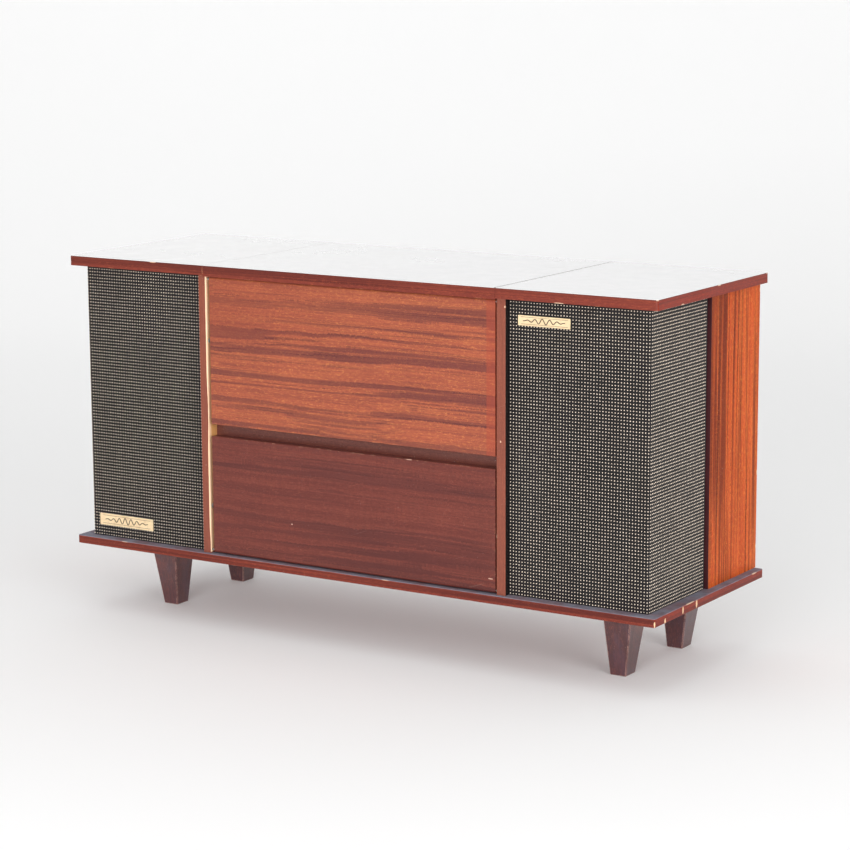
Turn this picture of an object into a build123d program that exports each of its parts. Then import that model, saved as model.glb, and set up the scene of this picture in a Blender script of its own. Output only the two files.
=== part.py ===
from build123d import *
from collections import namedtuple
import math
import os

# A radiogram: a low cabinet on four tapered legs, with a cloth-covered speaker bay at each end.
# Between the bays a record player lies under a lid, with a radio behind an upper flap and an
# empty compartment behind a lower one. Everything is modelled shut.
# Millimetres. X to the right, Y to the back, Z up; the origin is on the floor, under the cabinet.

os.makedirs("parts", exist_ok=True)

# ---------------------------------------------------------------- driving dimensions
# Ranges end in 0 and 1 for their low and high ends. A point on an axis along x is (y, z),
# along y it is (x, z) and along z it is (x, y).
SIDES = (("left", -1), ("right", 1))
GAP = 0.1                 # between pieces that would otherwise touch
DIAGONAL = math.sin(math.pi / 4)    # offset of a quarter arc's middle, for a radius of 1

# boards
WIDTH = 1200.0            # over the base and top boards
FRONT = -207.0            # front edge of the base and top boards
BACK = 201.0              # back edge of the base and top boards
HEIGHT = 660.0
TOP_T = 18.0              # side top boards
TOP_Z0 = HEIGHT - TOP_T
BASE_Z0, BASE_Z1 = 125.0, 140.0
SEAM = 300.0              # the side top boards start here
BOARD_CORNER_R = 4.0      # in plan
TOP_EDGE_R = 0.8          # upper edges of the top boards and the lid
DIV_IN, DIV_OUT = 298.0, 315.0
DIV_FRONT = FRONT + 8
DIV_BACK = 182.0

# speaker bays
CLOTH_Y = FRONT + 20      # front plane of the cloth
CLOTH_X = 578.0           # side plane of the cloth
CLOTH_T = 1.4
CLOTH_R = 3.0             # outer radius of the cloth's corner
CLOTH_END = FRONT + 221   # the cloth stops here
SIDE_FRONT = FRONT + 224.3   # and the wooden side panel starts here
PANEL_X = 584.0
PANEL_T = 18.0
SIDE_BACK = 204.0
PANEL_BACK = 200.0        # back face of the rear rail and the lid
BAFFLE_T = 12.0           # from the back of the cloth
SPEAKER_X, SPEAKER_Z = 446.0, 330.0
SPEAKER_R = 82.0

# flaps
FLAP_X0, FLAP_X1 = -291.5, 295.5
FLAP_Y = FRONT + 8
FLAP_T = 16.0
FLAP_BEVEL = 1.0          # on the front corner of the free edge
UPPER_Z0, UPPER_Z1 = 375.5, 639.0
LOWER_Z0, LOWER_Z1 = 142.0, 354.0
FLAP_R = 4.0              # the flaps' pivot edges are rounded about the pivot
UPPER_PIVOT = (FLAP_Y + FLAP_R, UPPER_Z1 - FLAP_R)
LOWER_PIVOT = (FLAP_Y + FLAP_R, LOWER_Z0 + FLAP_R)
PIVOT_PIN_R = 2.2
PIVOT_BORE_R = 2.26

# shelf, rail and back cover
SHELF_Z0, SHELF_Z1 = 357.0, 375.0
SHELF_Y = FRONT + 32
LIP_Z0, LIP_T = 338.0, 18.0
LIP_BACK = SHELF_Y + LIP_T
CATCH_Z = 347.0
RAIL_Z0 = 600.0
COVER_T = 4.0
COVER_BACK = DIV_BACK + COVER_T

# lid and hinge
LID_HALF = 299.5          # half width
LID_Z0 = 642.8
HINGE = (204.0, 642.0)
HINGE_R = 3.0

# radio
FASCIA_T = 12.0
FASCIA_Y0 = FRONT + 55
FASCIA_Y1 = FASCIA_Y0 + FASCIA_T
DIAL_X0, DIAL_X1, DIAL_Z0, DIAL_Z1 = -187.0, 193.0, 462.0, 542.0
CONTROL_Z = 418.0
KNOBS_X = {"tuning": 226.0, "volume": -232.0, "tone": -150.0}
BUTTONS_X = (-60.0, -20.0, 20.0, 60.0)

DECK_Z0, DECK_Z1 = 556.0, 568.0


# ---------------------------------------------------------------- helpers
def span(x0, x1, y0, y1, z0, z1, mode=Mode.ADD):
    """A box between two corners."""
    with Locations(((x0 + x1) / 2, (y0 + y1) / 2, (z0 + z1) / 2)):
        Box(abs(x1 - x0), abs(y1 - y0), abs(z1 - z0), mode=mode)


def rod(axis, centre, radius, start, end, mode=Mode.ADD):
    """A cylinder along x, y or z; centre gives the other two coordinates in x, y, z order."""
    mid, length = (start + end) / 2, abs(end - start)
    if axis == "x":
        place = Location((mid, centre[0], centre[1]), (0, 90, 0))
    elif axis == "y":
        place = Location((centre[0], mid, centre[1]), (90, 0, 0))
    else:
        place = Location((centre[0], centre[1], mid))
    with Locations(place):
        Cylinder(radius, length, mode=mode)


def polar(centre, radius, degrees):
    """The point at a distance and direction from a centre."""
    angle = math.radians(degrees)
    return (centre[0] + radius * math.cos(angle), centre[1] + radius * math.sin(angle))


def outermost(side):
    """Index of the outer end of a list sorted along X."""
    return 0 if side < 0 else -1


def save(name, builder):
    builder.part.label = name
    export_step(builder.part, f"parts/{name}.step")


# ---------------------------------------------------------------- stay geometry
# A stay is a slotted arm on a moving stud, sliding over a fixed pin. Stud and pin are equally
# far from the pivot. near and far are their distances apart when shut and when open.
Stay = namedtuple("Stay", "stud pin near far")
ARM_X0, ARM_X1 = -296.4, -294.4
ARM_W = 10.0
ARM_EXTRA = 4.0           # added to the arm's length beyond its rounded ends
ARM_SLOT_R = 2.15
ARM_SLOT_EXTRA = 1.0      # added to the slot's length
STAY_PIN_R = 2.0
STUD_HOLE_R = 2.06
BOSS_R = 2.5              # stud on a flap's arm, turning in the flap
BOSS_BORE_R = 2.56
FLAP_OPEN = 90.0


def stay(pivot, stud_offset, pin_angle, opening, turn):
    """Stay about a pivot; turn is the sense in which the pin is rotated from the stud."""
    radius = math.hypot(*stud_offset)
    angle = math.atan2(stud_offset[1], stud_offset[0]) + turn * math.radians(pin_angle)
    stud = (pivot[0] + stud_offset[0], pivot[1] + stud_offset[1])
    pin = (pivot[0] + radius * math.cos(angle), pivot[1] + radius * math.sin(angle))
    near = 2 * radius * math.sin(math.radians(pin_angle) / 2)
    far = 2 * radius * math.sin(math.radians(pin_angle + opening) / 2)
    return Stay(stud, pin, near, far)


LID_STAY = stay(HINGE, (-149.7, -12.0), pin_angle=35.0, opening=82.0, turn=1)
UPPER_STAY = stay(UPPER_PIVOT, (4.0, -110.0), pin_angle=10.0, opening=FLAP_OPEN, turn=1)
LOWER_STAY = stay(LOWER_PIVOT, (4.0, 80.0), pin_angle=20.0, opening=FLAP_OPEN, turn=-1)
STAY_PINS = (LID_STAY.pin, UPPER_STAY.pin, LOWER_STAY.pin)


def stay_arm(name, parts, has_boss):
    """A slotted arm from its stud over its pin, with a boss or a hole at the stud."""
    angle = math.atan2(parts.pin[1] - parts.stud[1], parts.pin[0] - parts.stud[0])
    along_arm = Plane((ARM_X0, *parts.stud), x_dir=(0, math.cos(angle), math.sin(angle)),
                      z_dir=(1, 0, 0))
    slot_length = parts.far - parts.near + 2 * ARM_SLOT_R + ARM_SLOT_EXTRA
    with BuildPart() as arm:
        with BuildSketch(along_arm):
            with Locations((parts.far / 2, 0)):
                SlotOverall(parts.far + ARM_W + ARM_EXTRA, ARM_W)
            if not has_boss:
                Circle(STUD_HOLE_R, mode=Mode.SUBTRACT)
            with Locations(((parts.near + parts.far) / 2, 0)):
                SlotOverall(slot_length, 2 * ARM_SLOT_R, mode=Mode.SUBTRACT)
        extrude(amount=ARM_X1 - ARM_X0)
        if has_boss:
            rod("x", parts.stud, BOSS_R, ARM_X1 - 0.5, FLAP_X0 + 15)
    save(name, arm)


# ---------------------------------------------------------------- cabinet
LEG_MIRROR = 466.5        # sum of the front and back legs' distances from the boards' front edge
LEG_TOP_X, LEG_TOP_W, LEG_TOP_D = 478.0, 58.0, 62.5      # centre, width and depth
LEG_FOOT_X, LEG_FOOT_W, LEG_FOOT_D = 473.8, 30.4, 34.0
LEG_TOP_IN, LEG_FOOT_IN = 127.85, 129.0   # front leg's centres, from the boards' front edge
# y of the top and of the foot
LEG_ROWS = {
    "front": (FRONT + LEG_TOP_IN, FRONT + LEG_FOOT_IN),
    "back": (FRONT + LEG_MIRROR - LEG_TOP_IN, FRONT + LEG_MIRROR - LEG_FOOT_IN),
}
BOLT_X = 475.0
BOLT_R = 4.0
BOLT_HOLE_R = BOLT_R + 0.05
BOLT_HEAD_R, BOLT_HEAD_T = 9.0, 3.5
BOLTS = [(side * BOLT_X, top_y) for side in (-1, 1) for top_y, _ in LEG_ROWS.values()]

with BuildPart() as base_board:
    span(-WIDTH / 2, WIDTH / 2, FRONT, BACK, BASE_Z0, BASE_Z1)
    fillet(base_board.edges().filter_by(Axis.Z), BOARD_CORNER_R)
    fillet(base_board.faces().sort_by(Axis.Z)[-1].edges(), 1.2)
    fillet(base_board.faces().sort_by(Axis.Z)[0].edges(), 0.8)
    for bolt in BOLTS:
        rod("z", bolt, BOLT_HOLE_R, BASE_Z0 - 1, BASE_Z1 + 1, Mode.SUBTRACT)
save("base_board", base_board)

for side_name, side in SIDES:
    with BuildPart() as top_board:
        span(side * SEAM, side * WIDTH / 2, FRONT, BACK, TOP_Z0, HEIGHT)
        upright_edges = top_board.edges().filter_by(Axis.Z)
        fillet(upright_edges.group_by(Axis.X)[outermost(side)], BOARD_CORNER_R)
        fillet(top_board.faces().sort_by(Axis.Z)[-1].edges(), TOP_EDGE_R)
    save(f"top_board_{side_name}", top_board)

PIN_FIT = 0.02            # added to a pin's radius for its hole in a divider
PIVOT_HOLE_END = 306.0
STAY_HOLE_END = 309.0
for side_name, side in SIDES:
    with BuildPart() as divider:
        span(side * DIV_OUT, side * DIV_IN, DIV_FRONT, DIV_BACK, BASE_Z1, TOP_Z0)
        fillet(divider.faces().sort_by(Axis.Y)[0].edges().filter_by(Axis.Z), 1.0)
        for pivot in (UPPER_PIVOT, LOWER_PIVOT):
            rod("x", pivot, PIVOT_PIN_R + PIN_FIT, side * PIVOT_HOLE_END, side * (DIV_IN - 1),
                Mode.SUBTRACT)
        # all three stays are at the left
        if side < 0:
            for pin in STAY_PINS:
                rod("x", pin, STAY_PIN_R + PIN_FIT, -STAY_HOLE_END, -DIV_IN + 1, Mode.SUBTRACT)
    save(f"divider_{side_name}", divider)

for side_name, side in SIDES:
    with BuildPart() as side_panel:
        span(side * PANEL_X, side * (PANEL_X - PANEL_T), SIDE_FRONT, SIDE_BACK, BASE_Z1, TOP_Z0)
        outer_face = side_panel.faces().sort_by(Axis.X)[outermost(side)]
        fillet(outer_face.edges().filter_by(Axis.Z), 1.0)
    save(f"side_panel_{side_name}", side_panel)

with BuildPart() as shelf_board:
    span(-DIV_IN, DIV_IN, SHELF_Y, DIV_BACK, SHELF_Z0, SHELF_Z1)
    # deep lipping along the front, with the bore the catch looks through
    span(-DIV_IN, DIV_IN, SHELF_Y, LIP_BACK, LIP_Z0, SHELF_Z1)
    fillet(shelf_board.faces().sort_by(Axis.Y)[0].edges().filter_by(Axis.X), 1.5)
    rod("y", (0.0, CATCH_Z), 3.2, SHELF_Y - 1, LIP_BACK + 1, Mode.SUBTRACT)
save("shelf_board", shelf_board)

with BuildPart() as rear_rail:
    span(-PANEL_X + PANEL_T, PANEL_X - PANEL_T, DIV_BACK, PANEL_BACK, RAIL_Z0, TOP_Z0)
save("rear_rail", rear_rail)

# ---------------------------------------------------------------- back cover
COVER_X, COVER_Z0, COVER_Z1 = 565.5, 140.5, 599.5
SCREWS = [(side * x, z) for x in (306.5, 556.0) for side in (-1, 1) for z in (152.0, 370.0, 588.0)]
SLOT_H = 8.0
SOUND_SLOTS = 7           # in a stack, longest in the middle
SOUND_MIDDLE = SOUND_SLOTS // 2
SOUND_X, SOUND_Z0, SOUND_PITCH = 440.0, 270.0, 20.0
SOUND_LENGTH, SOUND_STEP = 150.0, 12.0
AIR_SLOTS = 15            # in a row
AIR_X0, AIR_PITCH, AIR_LENGTH = -210.0, 30.0, 60.0
AIR_ROWS_Z = (505.0, 425.0)
CABLE_HOLE = (234.0, 394.0)

with BuildPart() as back_cover:
    span(-COVER_X, COVER_X, DIV_BACK, COVER_BACK, COVER_Z0, COVER_Z1)
    with BuildSketch(Plane.XZ.offset(-COVER_BACK)):
        # sound slots behind each loudspeaker
        for side in (-1, 1):
            for k in range(SOUND_SLOTS):
                with Locations((side * SOUND_X, SOUND_Z0 + SOUND_PITCH * k)):
                    SlotOverall(SOUND_LENGTH - SOUND_STEP * abs(k - SOUND_MIDDLE), SLOT_H)
        # upright warm air slots behind the radio
        for z in AIR_ROWS_Z:
            for k in range(AIR_SLOTS):
                with Locations((AIR_X0 + AIR_PITCH * k, z)):
                    SlotOverall(AIR_LENGTH, SLOT_H, rotation=90)
    extrude(amount=COVER_T + 4, both=True, mode=Mode.SUBTRACT)
    for screw in SCREWS:
        rod("y", screw, 2.1, DIV_BACK - 1, COVER_BACK + 1, Mode.SUBTRACT)
    rod("y", CABLE_HOLE, 16.0, DIV_BACK - 1, COVER_BACK + 1, Mode.SUBTRACT)
save("back_cover", back_cover)

with BuildPart() as back_cover_screws:
    for screw in SCREWS:
        rod("y", screw, 1.9, DIV_BACK + 0.1, COVER_BACK + 0.5)
        rod("y", screw, 4.0, COVER_BACK, COVER_BACK + 1.8)
    # driver slots across the heads
    for x, z in SCREWS:
        span(x - 3.0, x + 3.0, COVER_BACK + 1.0, COVER_BACK + 2.5, z - 0.5, z + 0.5, Mode.SUBTRACT)
save("back_cover_screws", back_cover_screws)

# ---------------------------------------------------------------- legs
LEG_HOLE_Z0 = 82.0
BOLT_Z0 = 84.0

for row_name, (top_y, foot_y) in LEG_ROWS.items():
    for side_name, side in SIDES:
        with BuildPart() as leg:
            with BuildSketch(Plane.XY):
                with Locations((side * LEG_FOOT_X, foot_y)):
                    Rectangle(LEG_FOOT_W, LEG_FOOT_D)
            with BuildSketch(Plane.XY.offset(BASE_Z0)):
                with Locations((side * LEG_TOP_X, top_y)):
                    Rectangle(LEG_TOP_W, LEG_TOP_D)
            loft(ruled=True)
            chamfer(leg.edges().filter_by(lambda e: abs(e.tangent_at(0.5).Z) > 0.5), 1.5)
            chamfer(leg.faces().sort_by(Axis.Z)[0].edges(), 1.0)
            rod("z", (side * BOLT_X, top_y), BOLT_HOLE_R, LEG_HOLE_Z0, BASE_Z0 + 1, Mode.SUBTRACT)
        save(f"leg_{row_name}_{side_name}", leg)

with BuildPart() as leg_bolts:
    for bolt in BOLTS:
        rod("z", bolt, BOLT_R, BOLT_Z0, BASE_Z1 + 1)
        rod("z", bolt, BOLT_HEAD_R, BASE_Z1, BASE_Z1 + BOLT_HEAD_T)
save("leg_bolts", leg_bolts)

# ---------------------------------------------------------------- speaker bays
# In plan, cloth and baffle are an L with a rounded corner, across the front and along the side.
BAY_GAP = 0.2             # to the divider, the base, the top and the side panel
BAY_X = DIV_OUT + BAY_GAP
BAY_Y = CLOTH_END - BAY_GAP
BAY_Z = BASE_Z1 + BAY_GAP
BAY_H = TOP_Z0 - BASE_Z1 - 2 * BAY_GAP
BAFFLE_Y0 = CLOTH_Y + CLOTH_T + GAP
BAFFLE_Y1 = CLOTH_Y + CLOTH_T + BAFFLE_T
BAFFLE_OUT = CLOTH_X - CLOTH_T - GAP
BAFFLE_IN = CLOTH_X - CLOTH_T - BAFFLE_T
BAFFLE_R = 5.0
UPPER_HOLE_Z, UPPER_HOLE_R = 520.0, 34.0
WINDOWS_Z, WINDOW_HALF = (230.0, 390.0, 550.0), 45.0

for side_name, side in SIDES:
    corner_x, corner_y = BAFFLE_OUT - BAFFLE_R, BAFFLE_Y0 + BAFFLE_R
    arc_offset = BAFFLE_R * DIAGONAL
    with BuildPart() as baffle:
        with BuildSketch(Plane.XY.offset(BAY_Z)):
            with BuildLine():
                Polyline((side * BAY_X, BAFFLE_Y0), (side * corner_x, BAFFLE_Y0))
                ThreePointArc((side * corner_x, BAFFLE_Y0),
                              (side * (corner_x + arc_offset), corner_y - arc_offset),
                              (side * BAFFLE_OUT, corner_y))
                Polyline((side * BAFFLE_OUT, corner_y), (side * BAFFLE_OUT, BAY_Y),
                         (side * BAFFLE_IN, BAY_Y), (side * BAFFLE_IN, BAFFLE_Y1),
                         (side * BAY_X, BAFFLE_Y1), (side * BAY_X, BAFFLE_Y0))
            make_face()
        extrude(amount=BAY_H)
        rod("y", (side * SPEAKER_X, SPEAKER_Z), SPEAKER_R, CLOTH_Y, CLOTH_Y + 20, Mode.SUBTRACT)
        rod("y", (side * SPEAKER_X, UPPER_HOLE_Z), UPPER_HOLE_R, CLOTH_Y, CLOTH_Y + 20,
            Mode.SUBTRACT)
        # windows in the side
        for z in WINDOWS_Z:
            span(side * (CLOTH_X + 1), side * (CLOTH_X - 30), CLOTH_Y + 50, CLOTH_END - 40,
                 z - WINDOW_HALF, z + WINDOW_HALF, Mode.SUBTRACT)
    save(f"baffle_{side_name}", baffle)

for side_name, side in SIDES:
    corner_x, corner_y = CLOTH_X - CLOTH_R, CLOTH_Y + CLOTH_R
    inner_x, inner_y = CLOTH_X - CLOTH_T, CLOTH_Y + CLOTH_T
    outer_offset = CLOTH_R * DIAGONAL
    inner_offset = (CLOTH_R - CLOTH_T) * DIAGONAL
    with BuildPart() as grille_cloth:
        with BuildSketch(Plane.XY.offset(BAY_Z)):
            with BuildLine():
                Line((side * BAY_X, CLOTH_Y), (side * corner_x, CLOTH_Y))
                ThreePointArc((side * corner_x, CLOTH_Y),
                              (side * (corner_x + outer_offset), corner_y - outer_offset),
                              (side * CLOTH_X, corner_y))
                Polyline((side * CLOTH_X, corner_y), (side * CLOTH_X, BAY_Y),
                         (side * inner_x, BAY_Y), (side * inner_x, corner_y))
                ThreePointArc((side * inner_x, corner_y),
                              (side * (corner_x + inner_offset), corner_y - inner_offset),
                              (side * corner_x, inner_y))
                Polyline((side * corner_x, inner_y), (side * BAY_X, inner_y),
                         (side * BAY_X, CLOTH_Y))
            make_face()
        extrude(amount=BAY_H)
    save(f"grille_cloth_{side_name}", grille_cloth)

# name: x0, x1, z0, z1, width of the raised rim
BADGES = {
    "badge_left": (-561.0, -438.0, 161.0, 182.5, 2.5),
    "badge_right": (333.0, 431.0, 598.0, 615.0, 2.2),
}
BADGE_T = 1.2
BADGE_RECESS = 0.3
BADGE_Y1 = CLOTH_Y - GAP
BADGE_Y0 = BADGE_Y1 - BADGE_T
for name, (x0, x1, z0, z1, rim) in BADGES.items():
    with BuildPart() as badge:
        span(x0, x1, BADGE_Y0, BADGE_Y1, z0, z1)
        fillet(badge.edges().filter_by(Axis.Y), 1.0)
        span(x0 + rim, x1 - rim, BADGE_Y0 - 1, BADGE_Y0 + BADGE_RECESS, z0 + rim, z1 - rim,
             Mode.SUBTRACT)
    save(name, badge)

# Half section of a loudspeaker: radius, distance behind the baffle.
SPEAKER_SECTION = (
    (0, 36), (14, 30), (18, 44), (74, 8), (80, 2), (86, 4), (88, 0), (98, 0),
    (98, 3), (90, 6), (36, 62), (36, 66), (48, 66), (48, 92), (0, 92), (0, 36),
)
SPEAKER_Y = BAFFLE_Y1 + GAP
for side_name, side in SIDES:
    centre = (side * SPEAKER_X, 0, SPEAKER_Z)
    with BuildPart() as loudspeaker:
        with BuildSketch(Plane(centre, x_dir=(1, 0, 0), z_dir=(0, 0, 1))):
            with BuildLine():
                Polyline(*[(radius, SPEAKER_Y + depth) for radius, depth in SPEAKER_SECTION])
            make_face()
        revolve(axis=Axis(centre, (0, 1, 0)), revolution_arc=360)
    save(f"loudspeaker_{side_name}", loudspeaker)

# ---------------------------------------------------------------- lid, its hinge and its stay
LIPPING_T, LIPPING_Z0 = 6.5, 640.2
with BuildPart() as lid_board:
    span(-LID_HALF, LID_HALF, FRONT, PANEL_BACK, LID_Z0, HEIGHT)
    # the lipping on the front edge hangs a little lower than the board
    span(-LID_HALF, LID_HALF, FRONT, FRONT + LIPPING_T, LIPPING_Z0, HEIGHT)
    fillet(lid_board.faces().sort_by(Axis.Z)[-1].edges(), TOP_EDGE_R)
save("lid_board", lid_board)

KNUCKLES = 15
HINGE_X = 294.0           # half length
KNUCKLE_PITCH = 2 * HINGE_X / KNUCKLES
KNUCKLE_GAP = 0.2         # at each end of a knuckle
HINGE_PIN_R, HINGE_BORE_R = 1.2, 1.26
LEAF_Y0 = PANEL_BACK + 0.05
LEAF_Y1 = LEAF_Y0 + 1.0
FIXED_Z0, FIXED_Z1 = 614.0, 640.5
MOVING_Z0, MOVING_Z1 = 643.5, 659.0
TAB_T = 1.1               # tabs joining the knuckles to their leaf


def knuckles(first, tab_z0):
    """Every other knuckle from the given one, each with its tab to the leaf."""
    for k in range(first, KNUCKLES, 2):
        x0 = -HINGE_X + k * KNUCKLE_PITCH + KNUCKLE_GAP
        x1 = -HINGE_X + (k + 1) * KNUCKLE_PITCH - KNUCKLE_GAP
        rod("x", HINGE, HINGE_R, x0, x1)
        span(x0, x1, LEAF_Y0, HINGE[0] - 0.5, tab_z0, tab_z0 + TAB_T)


def leaf_screw_holes(z):
    for k in range(6):
        rod("y", (-250.0 + 100.0 * k, z), 2.0, PANEL_BACK - 1, PANEL_BACK + 2, Mode.SUBTRACT)


with BuildPart() as lid_hinge_fixed_leaf:
    span(-HINGE_X, HINGE_X, LEAF_Y0, LEAF_Y1, FIXED_Z0, FIXED_Z1)
    knuckles(0, FIXED_Z1 - TAB_T)
    rod("x", HINGE, HINGE_PIN_R, -HINGE_X, HINGE_X)
    leaf_screw_holes(624.0)
save("lid_hinge_fixed_leaf", lid_hinge_fixed_leaf)

with BuildPart() as lid_hinge_moving_leaf:
    span(-HINGE_X, HINGE_X, LEAF_Y0, LEAF_Y1, MOVING_Z0, MOVING_Z1)
    knuckles(1, MOVING_Z0)
    rod("x", HINGE, HINGE_BORE_R, -HINGE_X - 1, HINGE_X + 1, Mode.SUBTRACT)
    leaf_screw_holes(651.5)
save("lid_hinge_moving_leaf", lid_hinge_moving_leaf)

# angle bracket under the lid, carrying the stay's headed stud
BRACKET_HALF = 10.0
BRACKET_T = 1.6
BRACKET_X = -292.0        # bend between the upright and the level leg
BRACKET_Z1 = LID_Z0 - 0.05
with BuildPart() as lid_stay_bracket:
    stud_y, stud_z = LID_STAY.stud
    span(BRACKET_X - BRACKET_T, BRACKET_X, stud_y - BRACKET_HALF, stud_y + BRACKET_HALF,
         stud_z - 8, BRACKET_Z1)
    span(BRACKET_X, -272.0, stud_y - BRACKET_HALF, stud_y + BRACKET_HALF,
         BRACKET_Z1 - BRACKET_T, BRACKET_Z1)
    rod("x", LID_STAY.stud, STAY_PIN_R, -297.2, -292.5)
    rod("x", LID_STAY.stud, 3.6, -297.4, -296.6)
save("lid_stay_bracket", lid_stay_bracket)

stay_arm("lid_stay_arm", LID_STAY, has_boss=False)


# ---------------------------------------------------------------- flaps
def flap(name, pivot, stud, outline, arc_sense):
    """A flap from its (y, z) outline; an arc about the pivot closes the last point to the first.

    arc_sense is 1 for an arc above the pivot and -1 for one below it.
    """
    arc_offset = FLAP_R * DIAGONAL
    arc_middle = (pivot[0] - arc_offset, pivot[1] + arc_sense * arc_offset)
    with BuildPart() as board:
        with BuildSketch(Plane((FLAP_X0, 0, 0), x_dir=(0, 1, 0), z_dir=(1, 0, 0))):
            with BuildLine():
                Polyline(*outline)
                ThreePointArc(outline[-1], arc_middle, outline[0])
            make_face()
        extrude(amount=FLAP_X1 - FLAP_X0)
        rod("x", pivot, PIVOT_BORE_R, FLAP_X0 - 1, FLAP_X0 + 14, Mode.SUBTRACT)
        rod("x", pivot, PIVOT_BORE_R, FLAP_X1 - 14, FLAP_X1 + 1, Mode.SUBTRACT)
        rod("x", stud, BOSS_BORE_R, FLAP_X0 - 1, FLAP_X0 + 16, Mode.SUBTRACT)
    save(name, board)


FLAP_BACK = FLAP_Y + FLAP_T
flap("upper_flap", UPPER_PIVOT, UPPER_STAY.stud, arc_sense=1, outline=[
    (FLAP_Y, UPPER_PIVOT[1]),
    (FLAP_Y, UPPER_Z0 + FLAP_BEVEL),
    (FLAP_Y + FLAP_BEVEL, UPPER_Z0),
    (FLAP_BACK, UPPER_Z0),
    (FLAP_BACK, UPPER_Z1),
    (UPPER_PIVOT[0], UPPER_Z1),
])
flap("lower_flap", LOWER_PIVOT, LOWER_STAY.stud, arc_sense=-1, outline=[
    (LOWER_PIVOT[0], LOWER_Z0),
    (FLAP_BACK, LOWER_Z0),
    (FLAP_BACK, LOWER_Z1),
    (FLAP_Y + FLAP_BEVEL, LOWER_Z1),
    (FLAP_Y, LOWER_Z1 - FLAP_BEVEL),
    (FLAP_Y, LOWER_PIVOT[1]),
])

PIVOT_PIN_END = PIVOT_HOLE_END - 0.5
with BuildPart() as flap_pivot_pins:
    for pivot in (UPPER_PIVOT, LOWER_PIVOT):
        rod("x", pivot, PIVOT_PIN_R, -PIVOT_PIN_END, FLAP_X0 + 13)
        rod("x", pivot, PIVOT_PIN_R, FLAP_X1 - 13, PIVOT_PIN_END)
save("flap_pivot_pins", flap_pivot_pins)

with BuildPart() as stay_pins:
    for pin in STAY_PINS:
        rod("x", pin, STAY_PIN_R, -STAY_HOLE_END + 0.5, -293.8)
        rod("x", pin, 4.2, -294.2, -293.2)
save("stay_pins", stay_pins)

stay_arm("upper_stay_arm", UPPER_STAY, has_boss=True)
stay_arm("lower_stay_arm", LOWER_STAY, has_boss=True)

# Spring catch behind the shelf's lipping; its ball stands just behind the lower flap.
with BuildPart() as flap_catch:
    span(-22.0, 22.0, LIP_BACK + GAP, LIP_BACK + 22, LIP_Z0, SHELF_Z0 - 0.05)
    fillet(flap_catch.edges().filter_by(Axis.Z), 2.0)
    rod("y", (0.0, CATCH_Z), 3.0, FLAP_BACK + 2.0, LIP_BACK + 3)
    with Locations((0.0, FLAP_BACK + 4.3, CATCH_Z)):
        Sphere(4.0)
save("flap_catch", flap_catch)

# ---------------------------------------------------------------- radio
REBATE = 6.0              # width of the glass rebate around the dial opening
GLASS_OVERLAP = 5.5       # of the glass around the dial opening
BUTTON_HOLE_X, BUTTON_HOLE_Z = 12.5, 7.5     # half sizes
BUTTON_X, BUTTON_Z = 11.8, 6.8
SLIDE_X, SLIDE_Z = 6.0, 3.0                  # tail of a button
SLIDE_FIT = 0.1
SHAFT_R, SHAFT_BORE_R = 3.0, 3.06

with BuildPart() as radio_fascia:
    span(-DIV_IN + GAP, DIV_IN - GAP, FASCIA_Y0, FASCIA_Y1, SHELF_Z1 + GAP, 640.0)
    # notch in the left edge, below the deck
    span(-DIV_IN, -290.0, FASCIA_Y0 - 1, FASCIA_Y1 + 1, 488.0, DECK_Z0 - 0.5, Mode.SUBTRACT)
    # dial opening with a rebate for the glass
    span(DIAL_X0, DIAL_X1, FASCIA_Y0 - 1, FASCIA_Y1 + 1, DIAL_Z0, DIAL_Z1, Mode.SUBTRACT)
    span(DIAL_X0 - REBATE, DIAL_X1 + REBATE, FASCIA_Y0 - 1, FASCIA_Y0 + 4,
         DIAL_Z0 - REBATE, DIAL_Z1 + REBATE, Mode.SUBTRACT)
    for x in KNOBS_X.values():
        rod("y", (x, CONTROL_Z), 4.5, FASCIA_Y0 - 1, FASCIA_Y1 + 1, Mode.SUBTRACT)
    for x in BUTTONS_X:
        span(x - BUTTON_HOLE_X, x + BUTTON_HOLE_X, FASCIA_Y0 - 1, FASCIA_Y1 + 1,
             CONTROL_Z - BUTTON_HOLE_Z, CONTROL_Z + BUTTON_HOLE_Z, Mode.SUBTRACT)
save("radio_fascia", radio_fascia)

with BuildPart() as dial_glass:
    span(DIAL_X0 - GLASS_OVERLAP, DIAL_X1 + GLASS_OVERLAP, FASCIA_Y0 + 0.8, FASCIA_Y0 + 3.8,
         DIAL_Z0 - GLASS_OVERLAP, DIAL_Z1 + GLASS_OVERLAP)
    fillet(dial_glass.edges().filter_by(Axis.Y), 1.0)
save("dial_glass", dial_glass)

GUIDE = (FASCIA_Y0 + 8.6, DIAL_Z1 - 4.4)     # rod the pointer slides along
GUIDE_R, GUIDE_BORE_R = 1.0, 1.06
POINTER_X = 3.0
POINTER_Y0 = FASCIA_Y0 + 5.2
with BuildPart() as dial_pointer:
    # needle, then its slider
    span(POINTER_X - 0.9, POINTER_X + 0.9, POINTER_Y0, POINTER_Y0 + 1.4,
         DIAL_Z0 + 8, DIAL_Z1 - 2)
    span(POINTER_X - 8.0, POINTER_X + 8.0, POINTER_Y0, POINTER_Y0 + 5.4,
         DIAL_Z1 - 8, DIAL_Z1 - 1.0)
    rod("x", GUIDE, GUIDE_BORE_R, POINTER_X - 9, POINTER_X + 9, Mode.SUBTRACT)
save("dial_pointer", dial_pointer)

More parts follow.
